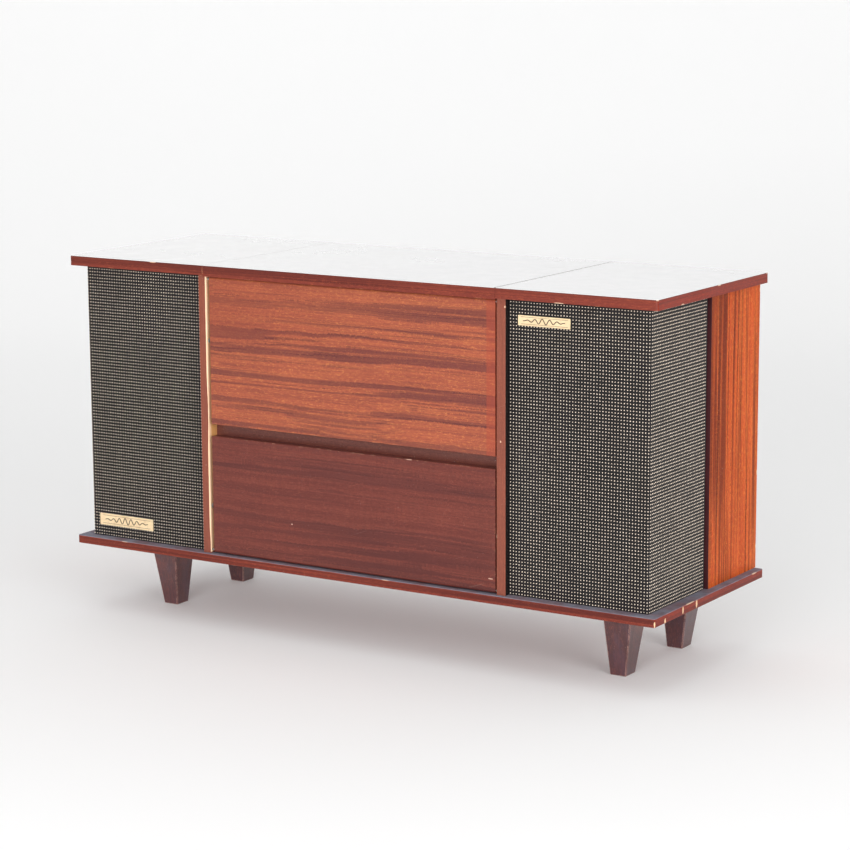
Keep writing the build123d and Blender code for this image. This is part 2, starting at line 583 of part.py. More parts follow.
CHASSIS_X = 250.0         # half width
CHASSIS_Y0, CHASSIS_Y1 = FASCIA_Y1 + 0.2, 70.0
CHASSIS_Z0, CHASSIS_Z1 = SHELF_Z1 + GAP, 446.0
PAN_Y0 = CHASSIS_Y0 + 12
SHEET_T = 1.5
with BuildPart() as radio_chassis:
    # folded steel pan, open below
    span(-CHASSIS_X, CHASSIS_X, PAN_Y0, CHASSIS_Y1, CHASSIS_Z0, CHASSIS_Z1)
    span(-CHASSIS_X + SHEET_T, CHASSIS_X - SHEET_T, PAN_Y0 + SHEET_T, CHASSIS_Y1 - SHEET_T,
         CHASSIS_Z0 - 1, CHASSIS_Z1 - SHEET_T, Mode.SUBTRACT)
    # dial back plate, joined to the pan
    span(DIAL_X0 + 1, DIAL_X1 - 1, FASCIA_Y1 - 0.6, CHASSIS_Y0 + 1.4, DIAL_Z0 + 1, DIAL_Z1 - 1)
    span(DIAL_X0 - 12, DIAL_X1 + 12, CHASSIS_Y0, CHASSIS_Y0 + SHEET_T,
         CHASSIS_Z1 - 10, DIAL_Z1 + 8)
    span(DIAL_X0 - 12, DIAL_X1 + 12, CHASSIS_Y0, CHASSIS_Y0 + 14,
         CHASSIS_Z1 - 10, CHASSIS_Z1 - 10 + SHEET_T)
    # the pointer's guide rod and its two end brackets
    rod("x", GUIDE, GUIDE_R, DIAL_X0 + 2.0, DIAL_X1 - 2.0)
    for x in (DIAL_X0 + 2.0, DIAL_X1 - 5.0):
        span(x, x + 3.0, FASCIA_Y0 + 7.4, FASCIA_Y1 + 0.5, DIAL_Z1 - 6.0, DIAL_Z1 - 2.8)
    # bushes for the knob shafts and the button slides
    for x in KNOBS_X.values():
        rod("y", (x, CONTROL_Z), 8.0, CHASSIS_Y0 + 6, CHASSIS_Y0 + 26)
        rod("y", (x, CONTROL_Z), SHAFT_BORE_R, CHASSIS_Y0 + 5, CHASSIS_Y0 + 27, Mode.SUBTRACT)
    span(BUTTONS_X[0] - 18, BUTTONS_X[-1] + 18, CHASSIS_Y0 + 8, CHASSIS_Y0 + 30,
         CONTROL_Z - 12, CONTROL_Z + 12)
    slot_x, slot_z = SLIDE_X + SLIDE_FIT, SLIDE_Z + SLIDE_FIT
    for x in BUTTONS_X:
        span(x - slot_x, x + slot_x, CHASSIS_Y0 + 7, CHASSIS_Y0 + 31,
             CONTROL_Z - slot_z, CONTROL_Z + slot_z, Mode.SUBTRACT)
save("radio_chassis", radio_chassis)

with BuildPart() as mains_transformer:
    span(150.0, 222.0, -10.0, 50.0, CHASSIS_Z1 + GAP, CHASSIS_Z1 + 60)
    span(160.0, 212.0, -22.0, 62.0, CHASSIS_Z1 + 12, CHASSIS_Z1 + 48)
    fillet(mains_transformer.edges().filter_by(Axis.Z), 2.0)
save("mains_transformer", mains_transformer)

# x, y of each valve on the chassis
VALVES = ((-215.0, 20.0), (-160.0, -10.0), (-105.0, 30.0),
          (-50.0, -20.0), (20.0, 20.0), (80.0, -10.0))
VALVE_R = 10.5
VALVE_SHOULDER = CHASSIS_Z1 + 48
with BuildPart() as valves:
    for valve in VALVES:
        rod("z", valve, 12.5, CHASSIS_Z1 + GAP, CHASSIS_Z1 + 8)
        rod("z", valve, VALVE_R, CHASSIS_Z1 + 7, VALVE_SHOULDER)
        with Locations((*valve, VALVE_SHOULDER)):
            Sphere(VALVE_R)
        rod("z", valve, 2.0, CHASSIS_Z1 + 57, CHASSIS_Z1 + 62)
save("valves", valves)

KNOB_R = 19.0
KNOB_Y0 = FASCIA_Y0 - 21.0
for knob_name, x in KNOBS_X.items():
    with BuildPart() as knob:
        rod("y", (x, CONTROL_Z), KNOB_R, KNOB_Y0, FASCIA_Y0 - 1.0)
        fillet(knob.faces().sort_by(Axis.Y)[0].edges(), 1.6)
        # dished front, shaft behind, and a mark above the middle
        rod("y", (x, CONTROL_Z), 13.0, KNOB_Y0 - 1, KNOB_Y0 + 0.8, Mode.SUBTRACT)
        rod("y", (x, CONTROL_Z), SHAFT_R, FASCIA_Y0 - 2, CHASSIS_Y0 + 24)
        span(x - 0.8, x + 0.8, KNOB_Y0, KNOB_Y0 + 1.4, CONTROL_Z + 7, CONTROL_Z + 17)
    save(f"{knob_name}_knob", knob)

BUTTON_Y0 = FASCIA_Y0 - 8.0
for number, x in enumerate(BUTTONS_X, start=1):
    with BuildPart() as push_button:
        span(x - BUTTON_X, x + BUTTON_X, BUTTON_Y0, FASCIA_Y0 + 9,
             CONTROL_Z - BUTTON_Z, CONTROL_Z + BUTTON_Z)
        fillet(push_button.faces().sort_by(Axis.Y)[0].edges(), 1.0)
        span(x - SLIDE_X, x + SLIDE_X, FASCIA_Y0 + 8, CHASSIS_Y0 + 22,
             CONTROL_Z - SLIDE_Z, CONTROL_Z + SLIDE_Z)
    save(f"push_button_{number}", push_button)

# ---------------------------------------------------------------- record player
PLATE_Z0 = DECK_Z1 + GAP
PLATE_Z1 = PLATE_Z0 + 3.0
PLATTER_R, RIM_IN_R = 125.0, 118.0
PLATTER_Z0, PLATTER_Z1 = 578.0, 600.0
IDLER_R, PULLEY_R = 22.0, 3.0
MESH_GAP = 0.25           # between idler and rim, and between idler and pulley
SPINDLE = (-60.0, 25.0)
IDLER = polar(SPINDLE, RIM_IN_R - IDLER_R - MESH_GAP, 120)
PULLEY = polar(IDLER, IDLER_R + PULLEY_R + MESH_GAP, 235)
SPINDLE_R, SPINDLE_BORE_R = 4.0, 4.06
RECORD_PIN_R, RECORD_PIN_Z = 3.6, 616.5      # top of the spindle, and its ball's centre
IDLER_STUD_R, IDLER_BORE_R = 2.0, 2.06
MOTOR_SHAFT_R, MOTOR_BORE_R = 1.5, 1.56
POST_R, POST_BORE_R = 3.0, 3.06              # tonearm post and lever stud
TURN = (130.0, 125.0)     # upright axis the tonearm turns about
TURN_X, TURN_Y = TURN
ARM_Z = 612.0             # height of the tonearm's tilt axis
REST_Y0, REST_Y1 = -33.5, -26.5
LEVER = (166.0, -70.0)

with BuildPart() as deck_board:
    span(-DIV_IN + GAP, DIV_IN - GAP, FASCIA_Y1 + GAP, DIV_BACK - 0.2, DECK_Z0, DECK_Z1)
    # gap for the lid stay at the left, and the hole the motor hangs through
    span(-DIV_IN - 1, -286.0, 20.0, DIV_BACK, DECK_Z0 - 1, DECK_Z1 + 1, Mode.SUBTRACT)
    span(-185.0, 110.0, 40.0, 150.0, DECK_Z0 - 1, DECK_Z1 + 1, Mode.SUBTRACT)
    rod("z", TURN, 12.0, DECK_Z0 - 1, DECK_Z1 + 1, Mode.SUBTRACT)
save("deck_board", deck_board)

FIXING_Z = PLATE_Z1 - 1   # posts on the plate start inside it
with BuildPart() as turntable_plate:
    span(-205.0, 195.0, -128.0, 172.0, PLATE_Z0, PLATE_Z1)
    fillet(turntable_plate.edges().filter_by(Axis.Z), 14.0)
    fillet(turntable_plate.faces().sort_by(Axis.Z)[-1].edges(), 1.2)
    # spindle: bearing below, record spindle above
    rod("z", SPINDLE, SPINDLE_R, FIXING_Z, 597.0)
    rod("z", SPINDLE, 9.0, FIXING_Z, 576.0)
    rod("z", SPINDLE, 3.0, 596.5, 604.4)
    rod("z", SPINDLE, RECORD_PIN_R, 604.4, RECORD_PIN_Z)
    with Locations((*SPINDLE, RECORD_PIN_Z)):
        Sphere(RECORD_PIN_R)
    # idler stud
    rod("z", IDLER, IDLER_STUD_R, FIXING_Z, 593.0)
    rod("z", IDLER, 5.0, FIXING_Z, 579.0)
    # tonearm post
    rod("z", TURN, 20.0, FIXING_Z, 585.0)
    rod("z", TURN, POST_R, 584.0, 597.0)
    # arm rest, with a lip on its right
    rod("z", (TURN_X, (REST_Y0 + REST_Y1) / 2), 3.0, FIXING_Z, 605.0)
    span(TURN_X - 7, TURN_X + 7, REST_Y0, REST_Y1, 604.0, 606.6)
    span(TURN_X + 5.2, TURN_X + 7, REST_Y0, REST_Y1, 604.0, 612.0)
    # lever stud, and the hole for the motor pulley
    rod("z", LEVER, POST_R, FIXING_Z, 579.5)
    rod("z", PULLEY, 5.0, PLATE_Z0 - 1, PLATE_Z1 + 1, Mode.SUBTRACT)
save("turntable_plate", turntable_plate)

MOTOR_Z0, MOTOR_Z1 = 520.0, 560.0
with BuildPart() as turntable_motor:
    rod("z", PULLEY, 30.0, MOTOR_Z0, MOTOR_Z1)
    fillet(turntable_motor.faces().sort_by(Axis.Z)[0].edges(), 3.0)
    rod("z", PULLEY, 10.0, MOTOR_Z0 - 4, MOTOR_Z0 + 1)
    # three posts up to the plate
    for degrees in (30, 150, 270):
        rod("z", polar(PULLEY, 24, degrees), 4.0, MOTOR_Z1 - 1, PLATE_Z0 - GAP)
    rod("z", PULLEY, MOTOR_BORE_R, 535.0, MOTOR_Z1 + 1, Mode.SUBTRACT)
save("turntable_motor", turntable_motor)

with BuildPart() as motor_pulley:
    rod("z", PULLEY, MOTOR_SHAFT_R, 537.0, 577.0)
    rod("z", PULLEY, PULLEY_R, 576.0, 592.0)
save("motor_pulley", motor_pulley)

IDLER_Z0, IDLER_Z1 = 583.0, 589.0
with BuildPart() as idler_wheel:
    rod("z", IDLER, IDLER_R, IDLER_Z0, IDLER_Z1)
    rod("z", IDLER, 6.0, 579.5, 592.0)
    for degrees in range(0, 360, 60):
        rod("z", polar(IDLER, 13, degrees), 4.0, IDLER_Z0 - 1, IDLER_Z1 + 1, Mode.SUBTRACT)
    rod("z", IDLER, IDLER_BORE_R, 579.0, 594.0, Mode.SUBTRACT)
save("idler_wheel", idler_wheel)

with BuildPart() as platter:
    rod("z", SPINDLE, PLATTER_R, PLATTER_Z0, PLATTER_Z1)
    fillet(platter.faces().sort_by(Axis.Z)[-1].edges(), 1.5)
    # hollow below, with a hub in the middle
    rod("z", SPINDLE, RIM_IN_R, PLATTER_Z0 - 1, PLATTER_Z1 - 4, Mode.SUBTRACT)
    rod("z", SPINDLE, 11.0, 576.5, 597.0)
    rod("z", SPINDLE, SPINDLE_BORE_R, 576.0, PLATTER_Z1 + 1, Mode.SUBTRACT)
save("platter", platter)

MAT_Z1 = 603.0
GROOVE_DEPTH, GROOVE_W = 0.8, 2.5
with BuildPart() as platter_mat:
    rod("z", SPINDLE, 122.0, PLATTER_Z1 + 0.05, MAT_Z1)
    for groove_r in range(20, 116, 8):
        with BuildSketch(Plane.XY.offset(MAT_Z1 - GROOVE_DEPTH)):
            with Locations(SPINDLE):
                Circle(groove_r + GROOVE_W)
                Circle(groove_r, mode=Mode.SUBTRACT)
        extrude(amount=2.0, mode=Mode.SUBTRACT)
    rod("z", SPINDLE, 4.0, 599.0, 605.0, Mode.SUBTRACT)
save("platter_mat", platter_mat)

with BuildPart() as tonearm_turret:
    rod("z", TURN, 15.0, 585.3, 601.0)
    # two cheeks carrying the tilt axle
    for side in (-1, 1):
        span(TURN_X + side * 9.0, TURN_X + side * 12.5, TURN_Y - 7, TURN_Y + 7, 600.0, 618.0)
    rod("x", (TURN_Y, ARM_Z), 1.5, TURN_X - 10, TURN_X + 10)
    rod("z", TURN, POST_BORE_R, 584.0, 598.0, Mode.SUBTRACT)
save("tonearm_turret", tonearm_turret)

with BuildPart() as tonearm:
    span(TURN_X - 8.5, TURN_X + 8.5, TURN_Y - 12, TURN_Y + 12, ARM_Z - 7, ARM_Z + 7)
    fillet(tonearm.edges().filter_by(Axis.Y), 3.0)
    # tube, then the thicker cylinder at its back end
    rod("y", (TURN_X, ARM_Z), 4.2, TURN_Y - 205, TURN_Y + 30)
    rod("y", (TURN_X, ARM_Z), 9.5, TURN_Y + 22, TURN_Y + 46)
    # head with its cartridge, finger lift and stylus
    span(TURN_X - 8, TURN_X + 8, TURN_Y - 240, TURN_Y - 200, ARM_Z - 4.5, ARM_Z + 4.5)
    span(TURN_X - 5, TURN_X + 5, TURN_Y - 234, TURN_Y - 216, ARM_Z - 7.0, ARM_Z - 4.0)
    span(TURN_X + 8, TURN_X + 15, TURN_Y - 230, TURN_Y - 225, ARM_Z - 0.8, ARM_Z + 0.8)
    rod("z", (TURN_X, TURN_Y - 227), 0.5, ARM_Z - 8.2, ARM_Z - 6.5)
    rod("x", (TURN_Y, ARM_Z), 1.56, TURN_X - 12, TURN_X + 12, Mode.SUBTRACT)
save("tonearm", tonearm)

with BuildPart() as speed_lever:
    lever_x, lever_y = LEVER
    blade_z0 = PLATE_Z1 + 2.5
    rod("z", LEVER, 9.0, PLATE_Z1 + 0.5, PLATE_Z1 + 7.5)
    span(lever_x - 3.0, lever_x + 3.0, lever_y - 27, lever_y, blade_z0, PLATE_Z1 + 6.0)
    rod("z", (lever_x, lever_y - 25), 4.5, blade_z0, PLATE_Z1 + 11)
    rod("z", LEVER, POST_BORE_R, PLATE_Z1, PLATE_Z1 + 9, Mode.SUBTRACT)
save("speed_lever", speed_lever)

# ------------------------------------------- mains cable, wound flat against the back cover
CABLE_R = 3.0
CABLE_Y = COVER_BACK + 3.6
COIL_X, COIL_Z = 120.0, 270.0             # centre
COIL_RADIUS_X, COIL_RADIUS_Z = 70.0, 88.0 # at the outer end
COIL_TURNS = 2.35
COIL_SHRINK = 0.36                        # share of the radius lost at the inner end
COIL_STEPS = 34
# from inside the cabinet, through the cover's hole, to the coil
CABLE_LEAD = [
    (240.0, DIV_BACK - 20.0, 400.0),
    (239.5, DIV_BACK + 2.0, 399.0),
    (228.0, CABLE_Y, 388.0),
    (180.0, CABLE_Y, 366.0),
]


def coil_point(t):
    """Point on the coil, from its outer end at t = 0 to its inner end at t = 1."""
    angle = math.radians(90 - 360 * COIL_TURNS * t)
    scale = 1.0 - COIL_SHRINK * t
    return (COIL_X + COIL_RADIUS_X * scale * math.cos(angle), CABLE_Y,
            COIL_Z + COIL_RADIUS_Z * scale * math.sin(angle))


with BuildPart() as mains_cable:
    with BuildLine() as cable_path:
        Spline(CABLE_LEAD + [coil_point(i / COIL_STEPS) for i in range(COIL_STEPS + 1)])
    with BuildSketch(Plane(origin=cable_path.line @ 0, z_dir=cable_path.line % 0)):
        Circle(CABLE_R)
    sweep()
    # plug at the inner end of the winding, with two pins pointing down
    end_x, end_y, end_z = cable_path.line @ 1
    span(end_x - 14, end_x + 14, end_y - 3.3, end_y + 9.0, end_z - 38, end_z + 4)
    fillet(mains_cable.faces().sort_by(Axis.Y)[-1].edges(), 2.5)
    for side in (-1, 1):
        rod("z", (end_x + side * 9.5, end_y + 3), 2.0, end_z - 57, end_z - 36)
save("mains_cable", mains_cable)
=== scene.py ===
"""Looks of the radio phonograph console.

Metres, +X right, +Y back, +Z up, origin on the floor under the middle; the front faces -Y.
"""
import bpy
import math
import numpy as np
from mathutils import Matrix, Vector

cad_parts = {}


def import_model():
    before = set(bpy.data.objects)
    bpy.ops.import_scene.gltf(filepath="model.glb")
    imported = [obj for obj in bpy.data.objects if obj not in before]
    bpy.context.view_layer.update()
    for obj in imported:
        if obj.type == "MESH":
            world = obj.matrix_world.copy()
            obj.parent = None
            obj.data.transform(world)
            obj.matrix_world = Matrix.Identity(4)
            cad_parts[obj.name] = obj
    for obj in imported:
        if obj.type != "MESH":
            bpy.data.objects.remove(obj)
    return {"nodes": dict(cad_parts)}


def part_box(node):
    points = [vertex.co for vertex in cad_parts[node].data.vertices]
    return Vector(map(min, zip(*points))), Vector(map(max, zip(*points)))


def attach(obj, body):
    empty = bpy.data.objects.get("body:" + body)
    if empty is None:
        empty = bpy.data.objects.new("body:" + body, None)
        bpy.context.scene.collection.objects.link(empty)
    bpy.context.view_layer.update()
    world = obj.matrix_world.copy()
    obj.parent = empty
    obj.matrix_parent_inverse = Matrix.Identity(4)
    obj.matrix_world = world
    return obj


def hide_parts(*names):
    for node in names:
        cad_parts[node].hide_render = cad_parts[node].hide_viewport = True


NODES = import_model()["nodes"]
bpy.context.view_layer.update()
rng = np.random.default_rng(7)

FRONT = -0.207               # y of the cabinet's front edge
SEAM_X = 0.2999              # seams in the top, either side of the lid

# Grille cloth: in each bay it runs right or left from a divider, then back round a corner
CLOTH_PITCH = 0.0056
CLOTH_BOTTOM, CLOTH_TOP = 0.1402, 0.6418
CLOTH_START = 0.3152         # |x| at the divider
CLOTH_SIDE = 0.578           # |x| of the side run
CLOTH_FRONT = FRONT + 0.020
CLOTH_BACK = FRONT + 0.2208
CORNER = 0.003               # corner radius
CLOTH_STRAIGHT = CLOTH_SIDE - CORNER - CLOTH_START
CLOTH_ARC = CORNER * math.pi / 2
CLOTH_LENGTH = CLOTH_STRAIGHT + CLOTH_ARC + (CLOTH_BACK - CLOTH_FRONT - CORNER)

# Dial plate and radio knobs
PLATE_FRONT, PLATE_BACK = -0.1412, -0.14065
FASCIA_FRONT = -0.152
KNOB_Z = 0.418
KNOBS_X = {"tuning": 0.226, "volume": -0.232, "tone": -0.150}


# ------------------------------------------------------------------ shader graph
class Field:
    """A shader output with arithmetic: each operator adds one Math node."""

    def __init__(self, net, socket):
        self.net = net
        self.socket = socket

    def __add__(self, other):
        return self.net.math("ADD", self, other)

    def __sub__(self, other):
        return self.net.math("SUBTRACT", self, other)

    def __rsub__(self, other):
        return self.net.math("SUBTRACT", other, self)

    def __mul__(self, other):
        return self.net.math("MULTIPLY", self, other)

    def __pow__(self, other):
        return self.net.math("POWER", self, other)

    def __abs__(self):
        return self.net.math("ABSOLUTE", self)


SURFACE = {
    "colour": "Base Color", "metal": "Metallic", "rough": "Roughness",
    "specular": "Specular IOR Level", "coat": "Coat Weight", "coat_rough": "Coat Roughness",
    "coat_ior": "Coat IOR", "coat_normal": "Coat Normal", "sheen": "Sheen Weight",
    "transmission": "Transmission Weight", "ior": "IOR", "normal": "Normal",
    "glow_colour": "Emission Color", "glow": "Emission Strength",
}


class Net:
    """The node network of a new material with one Principled shader."""

    def __init__(self, name):
        self.material = bpy.data.materials.new(name)
        self.material.use_nodes = True
        self.tree = self.material.node_tree
        self.tree.nodes.clear()
        output = self.node("OutputMaterial")
        self.shader = self.node("BsdfPrincipled")
        self.tree.links.new(self.shader.outputs[0], output.inputs[0])

    def node(self, kind, inputs=(), **props):
        node = self.tree.nodes.new("ShaderNode" + kind)
        for key, value in props.items():
            setattr(node, key, value)
        for key, value in dict(inputs).items():
            self.put(node.inputs[key], value)
        return node

    def field(self, kind, output, inputs=(), **props):
        return Field(self, self.node(kind, inputs, **props).outputs[output])

    def put(self, socket, value):
        if isinstance(value, Field):
            self.tree.links.new(value.socket, socket)
            return
        if isinstance(value, tuple) and len(value) == 3 and socket.type == "RGBA":
            value = (*value, 1.0)
        socket.default_value = value

    def surface(self, **values):
        """Set the shader's inputs, by the names in SURFACE, and return the material."""
        for key, value in values.items():
            self.put(self.shader.inputs[SURFACE[key]], value)
        return self.material

    def position(self):
        return self.field("TexCoord", "Object")

    def split(self, vector):
        node = self.node("SeparateXYZ", {0: vector})
        return [Field(self, output) for output in node.outputs]

    def join(self, *parts):
        return self.field("CombineXYZ", 0, enumerate(parts))

    def math(self, operation, *values, clamp=False):
        return self.field("Math", 0, enumerate(values), operation=operation, use_clamp=clamp)

    def vector_math(self, operation, *values):
        output = "Value" if operation in ("DOT_PRODUCT", "LENGTH") else "Vector"
        return self.field("VectorMath", output, enumerate(values), operation=operation)

    def noise(self, vector, scale=1.0, detail=3.0, rough=0.55, distortion=0.0):
        return self.field("TexNoise", "Fac", {
            "Vector": vector, "Scale": scale, "Detail": detail, "Roughness": rough,
            "Distortion": distortion})

    def ramp(self, value, stops):
        node = self.node("ValToRGB", {0: value})
        elements = node.color_ramp.elements
        while len(elements) < len(stops):
            elements.new(0.5)
        for element, (place, colour) in zip(elements, stops):
            element.position = place
            element.color = (*colour, 1.0)
        return Field(self, node.outputs["Color"])

    def band(self, value, lo, hi):
        """0 below lo, 1 above hi, smooth between."""
        inputs = {"Value": value, "From Min": lo, "From Max": hi}
        return self.field("MapRange", "Result", inputs, interpolation_type="SMOOTHSTEP")

    def remap(self, value, lo, hi, to=(0.0, 1.0)):
        """Straight line from lo..hi to the given pair, held at its ends."""
        return self.field("MapRange", "Result", {
            "Value": value, "From Min": lo, "From Max": hi, "To Min": to[0], "To Max": to[1]})

    def mix(self, share, first, second):
        inputs = {0: share, 6: first, 7: second}
        return self.field("Mix", 2, inputs, data_type="RGBA", clamp_factor=True)

    def mix_float(self, share, first, second):
        return self.field("Mix", 0, {0: share, 2: first, 3: second}, data_type="FLOAT")

    def bump(self, height, strength, distance):
        return self.field("Bump", "Normal", {
            "Strength": strength, "Distance": distance, "Height": height})

    def edge(self, radius):
        """About 1 on sharp outer edges, 0 on flats."""
        rounded = self.field("Bevel", "Normal", {"Radius": radius}, samples=4)
        true = self.field("NewGeometry", "Normal")
        agreement = self.vector_math("DOT_PRODUCT", rounded, true)
        return self.remap(agreement, lo=1.0, hi=0.86)

    def spots(self, pos, rows):
        """Mask of small broken patches; rows are centre x, y, z and radius x, y, z."""
        ragged = (self.noise(pos, scale=210.0, detail=4.0, rough=0.7) - 0.5) * 0.9
        mask = None
        for row in rows:
            offset = self.vector_math("SUBTRACT", pos, row[:3])
            offset = self.vector_math("MULTIPLY", offset, tuple(1.0 / r for r in row[3:]))
            distance = self.vector_math("LENGTH", offset) + ragged
            spot = 1.0 - self.band(distance, lo=0.75, hi=0.95)
            mask = spot if mask is None else self.math("MAXIMUM", mask, spot)
        return mask


# ------------------------------------------------------------------ colours
def srgb(*parts):
    """Linear colour from 0-255 display values."""
    return tuple(((v / 255) / 12.92 if v / 255 <= 0.04045 else ((v / 255 + 0.055) / 1.055) ** 2.4)
                 for v in parts)


def tint(colour, *gains):
    """The colour times one gain, or one per channel, held to 1."""
    return tuple(min(1.0, part * gain) for part, gain in zip(colour, gains * (3 // len(gains))))


def blend(first, second, share):
    """Colour with the given share of the first."""
    return tuple(share * p + (1 - share) * q for p, q in zip(first, second))


def wood_tone(light, mid, dark, gain=(1.0, 1.0, 1.0)):
    return tuple(tint(srgb(*part), *gain) for part in (light, mid, dark))


# light, mid and dark in display values, then a gain per channel
DOOR = wood_tone((206, 116, 66), (178, 92, 58), (94, 44, 44), (0.99, 1.00, 1.19))
DOOR_LOW = wood_tone((138, 66, 50), (120, 54, 42), (76, 32, 31), (0.98, 1.04, 1.12))
PANEL = wood_tone((240, 124, 54), (206, 88, 38), (96, 30, 16), (1.20, 1.18, 1.26))
DIVIDER = wood_tone((168, 84, 60), (154, 74, 54), (112, 50, 40), (0.86, 1.02, 1.06))
EDGE = wood_tone((146, 66, 46), (122, 54, 42), (78, 32, 28), (1.14, 1.10, 1.12))
LEG = wood_tone((124, 62, 56), (86, 44, 47), (44, 23, 29))
SHELF = wood_tone((120, 66, 54), (104, 56, 48), (66, 34, 32), (1.28, 1.28, 1.28))
RAW = wood_tone((206, 168, 124), (190, 148, 104), (150, 110, 74))
# the slabs' end faces are redder than their long edges
END = (tint(EDGE[0], 1.20, 0.72, 0.52), tint(EDGE[1], 1.20, 0.72, 0.52), tint(EDGE[2], 1.15))


# ------------------------------------------------------------------ wood
def along(net, axis, pos):
    """Coordinates with the grain along the first one."""
    x, y, z = net.split(pos)
    return net.join(*{"x": (x, y, z), "y": (y, z, x), "z": (z, x, y)}[axis])


def wood_colour(net, vector, tone, seed, ribbon=1.0, wave=1.0, streak=0.55, pore=0.5, band=0.75,
                curl=1.0, gold=0.35):
    """Ribbon-figured veneer with the grain along the first axis: colour, (fibres, pores).

    ribbon: how close the bands lie; wave: how far they wander; streak, band, pore, gold:
    strength of thin lines, dark bands, pores and bright flecks; curl: ripple across the grain.
    """
    light, mid, dark = tone
    vector = net.vector_math("ADD", vector, (seed * 0.731, seed * 1.37, seed * 0.517))
    run, across, deep = net.split(vector)

    def straight(run_scale, cross_scale, detail=2.0, rough=0.5):
        place = net.join(run * run_scale, across * cross_scale, deep * cross_scale)
        return net.noise(place, detail=detail, rough=rough)

    drift = straight(2.4, 5.0)
    small_drift = straight(9.0, 22.0)
    jag = straight(330.0, 22.0, rough=0.6)
    offset = ((drift - 0.5) * (0.030 * wave) + (small_drift - 0.5) * (0.0060 * wave)
              + (jag - 0.5) * (0.0046 * curl))
    bent_across, bent_deep = across + offset, deep + offset

    def bent(run_scale, cross_scale, detail=3.0, rough=0.6):
        place = net.join(run * run_scale, bent_across * cross_scale, bent_deep * cross_scale)
        return net.noise(place, detail=detail, rough=rough)

    broad = bent(0.6, 27.0 * ribbon, detail=2.0, rough=0.5)
    bands = bent(0.8, 76.0 * ribbon)
    thin = bent(1.3, 240.0 * ribbon)
    fibres = bent(14.0, 760.0)
    strength = net.remap(straight(1.5, 7.0), lo=0.36, hi=0.60, to=(0.70, 1.0))
    colour = net.ramp(bands * 0.45 + (thin * 0.35 + broad * 0.20), [
        (0.36, blend(dark, mid, 0.45)), (0.47, mid), (0.57, light), (0.70, tint(light, 1.18))])
    dark_bands = net.band(bands * 0.62 + broad * 0.38, lo=0.470, hi=0.565) * strength * band
    colour = net.mix(dark_bands, colour, dark)
    lines = net.band(thin, lo=0.545, hi=0.630) * net.remap(broad, lo=0.35, hi=0.6, to=(0.45, 1.0))
    colour = net.mix(lines * streak, colour, tint(dark, 0.78))
    ripple = bent(260.0, 60.0, detail=2.0)
    colour = net.mix(net.remap(ripple, lo=0.34, hi=0.66, to=(0.26 * curl, 0.0)), colour,
                     tint(mid, 0.62))
    flecks = net.band(bent(150.0, 1050.0, detail=2.0), lo=0.60, hi=0.72)
    calm = 1.0 - dark_bands * 0.8
    colour = net.mix(flecks * gold * calm, colour, tint(light, 1.30, 1.42, 1.30))
    grit = bent(120.0, 460.0, rough=0.7)
    colour = net.mix(net.band(grit, lo=0.54, hi=0.66) * (gold * 1.3) * calm, colour,
                     tint(light, 1.26, 1.50, 1.25))
    colour = net.mix(net.remap(grit, lo=0.32, hi=0.47, to=(0.55, 0.0)), colour,
                     blend(dark, mid, 0.5))
    colour = net.mix(net.remap(fibres, lo=0.32, hi=0.70, to=(0.26, 0.0)), colour, tint(dark, 0.55))
    pores = net.band(bent(60.0, 1900.0, detail=1.0, rough=0.5), lo=0.66, hi=0.74)
    colour = net.mix(pores * pore, colour, tint(dark, 0.35))
    return colour, (fibres, pores)


def wood_height(grain):
    fibres, pores = grain
    return fibres * 0.5 - pores * 0.6


def veneer(name, axis, tone, seed, rough, coat, coat_rough=0.10, specular=0.28, specks=0.28,
           wear=0.55, wear_radius=0.0012, extra=None, **figure):
    """Lacquered veneer; figure goes to wood_colour, extra adds a piece's own marks."""
    net = Net(name)
    pos = net.position()
    colour, grain = wood_colour(net, along(net, axis, pos), tone, seed, **figure)
    height = wood_height(grain)
    # lacquer: slow unevenness, dust specks, hairline scratches
    haze = net.noise(pos, scale=7.0, detail=4.0, rough=0.6)
    dust = net.band(net.noise(pos, scale=420.0, detail=1.0, rough=0.5), lo=0.745, hi=0.80)
    x, y, z = net.split(pos)
    hairs = net.noise(net.join((x + z) * 6.0, (z - x * 0.35) * 900.0, y * 6.0),
                      detail=1.0, rough=0.5)
    scratches = (net.band(hairs, lo=0.745, hi=0.80)
                 * net.band(net.noise(pos, scale=13.0, detail=1.0), lo=0.54, hi=0.66))
    colour = net.mix(dust * specks, colour, (0.62, 0.50, 0.44))
    colour = net.mix(scratches * 0.16, colour, (0.60, 0.42, 0.34))
    colour = net.mix(net.remap(haze, lo=0.3, hi=0.7, to=(0.0, 0.14)), colour, tint(tone[2], 0.62))
    worn_rough = 0.0
    if wear:
        edge = net.edge(wear_radius)
        rubbed = net.band(net.noise(pos, scale=95.0, detail=4.0, rough=0.65), lo=0.50, hi=0.63)
        mask = net.band(edge, lo=0.10, hi=0.55) * rubbed * wear
        colour = net.mix(mask, colour, (0.55, 0.30, 0.19))
        worn_rough = net.mix_float(mask, 0.0, 0.35)
    if extra:
        colour = extra(net, pos, colour)
    hazy_rough = net.remap(haze, lo=0.25, hi=0.75, to=(rough - 0.05, rough + 0.08))
    waviness = net.noise(pos, scale=26.0, detail=2.0, rough=0.5)
    return net.surface(
        colour=colour,
        rough=net.math("ADD", hazy_rough, worn_rough, clamp=True),
        specular=specular,
        coat=coat,
        coat_rough=net.remap(haze, lo=0.25, hi=0.75, to=(coat_rough * 0.7, coat_rough * 1.6)),
        coat_ior=1.5,
        normal=net.bump(height, strength=0.14, distance=0.0004),
        coat_normal=net.bump(height * 0.25 + waviness, strength=0.05, distance=0.002))


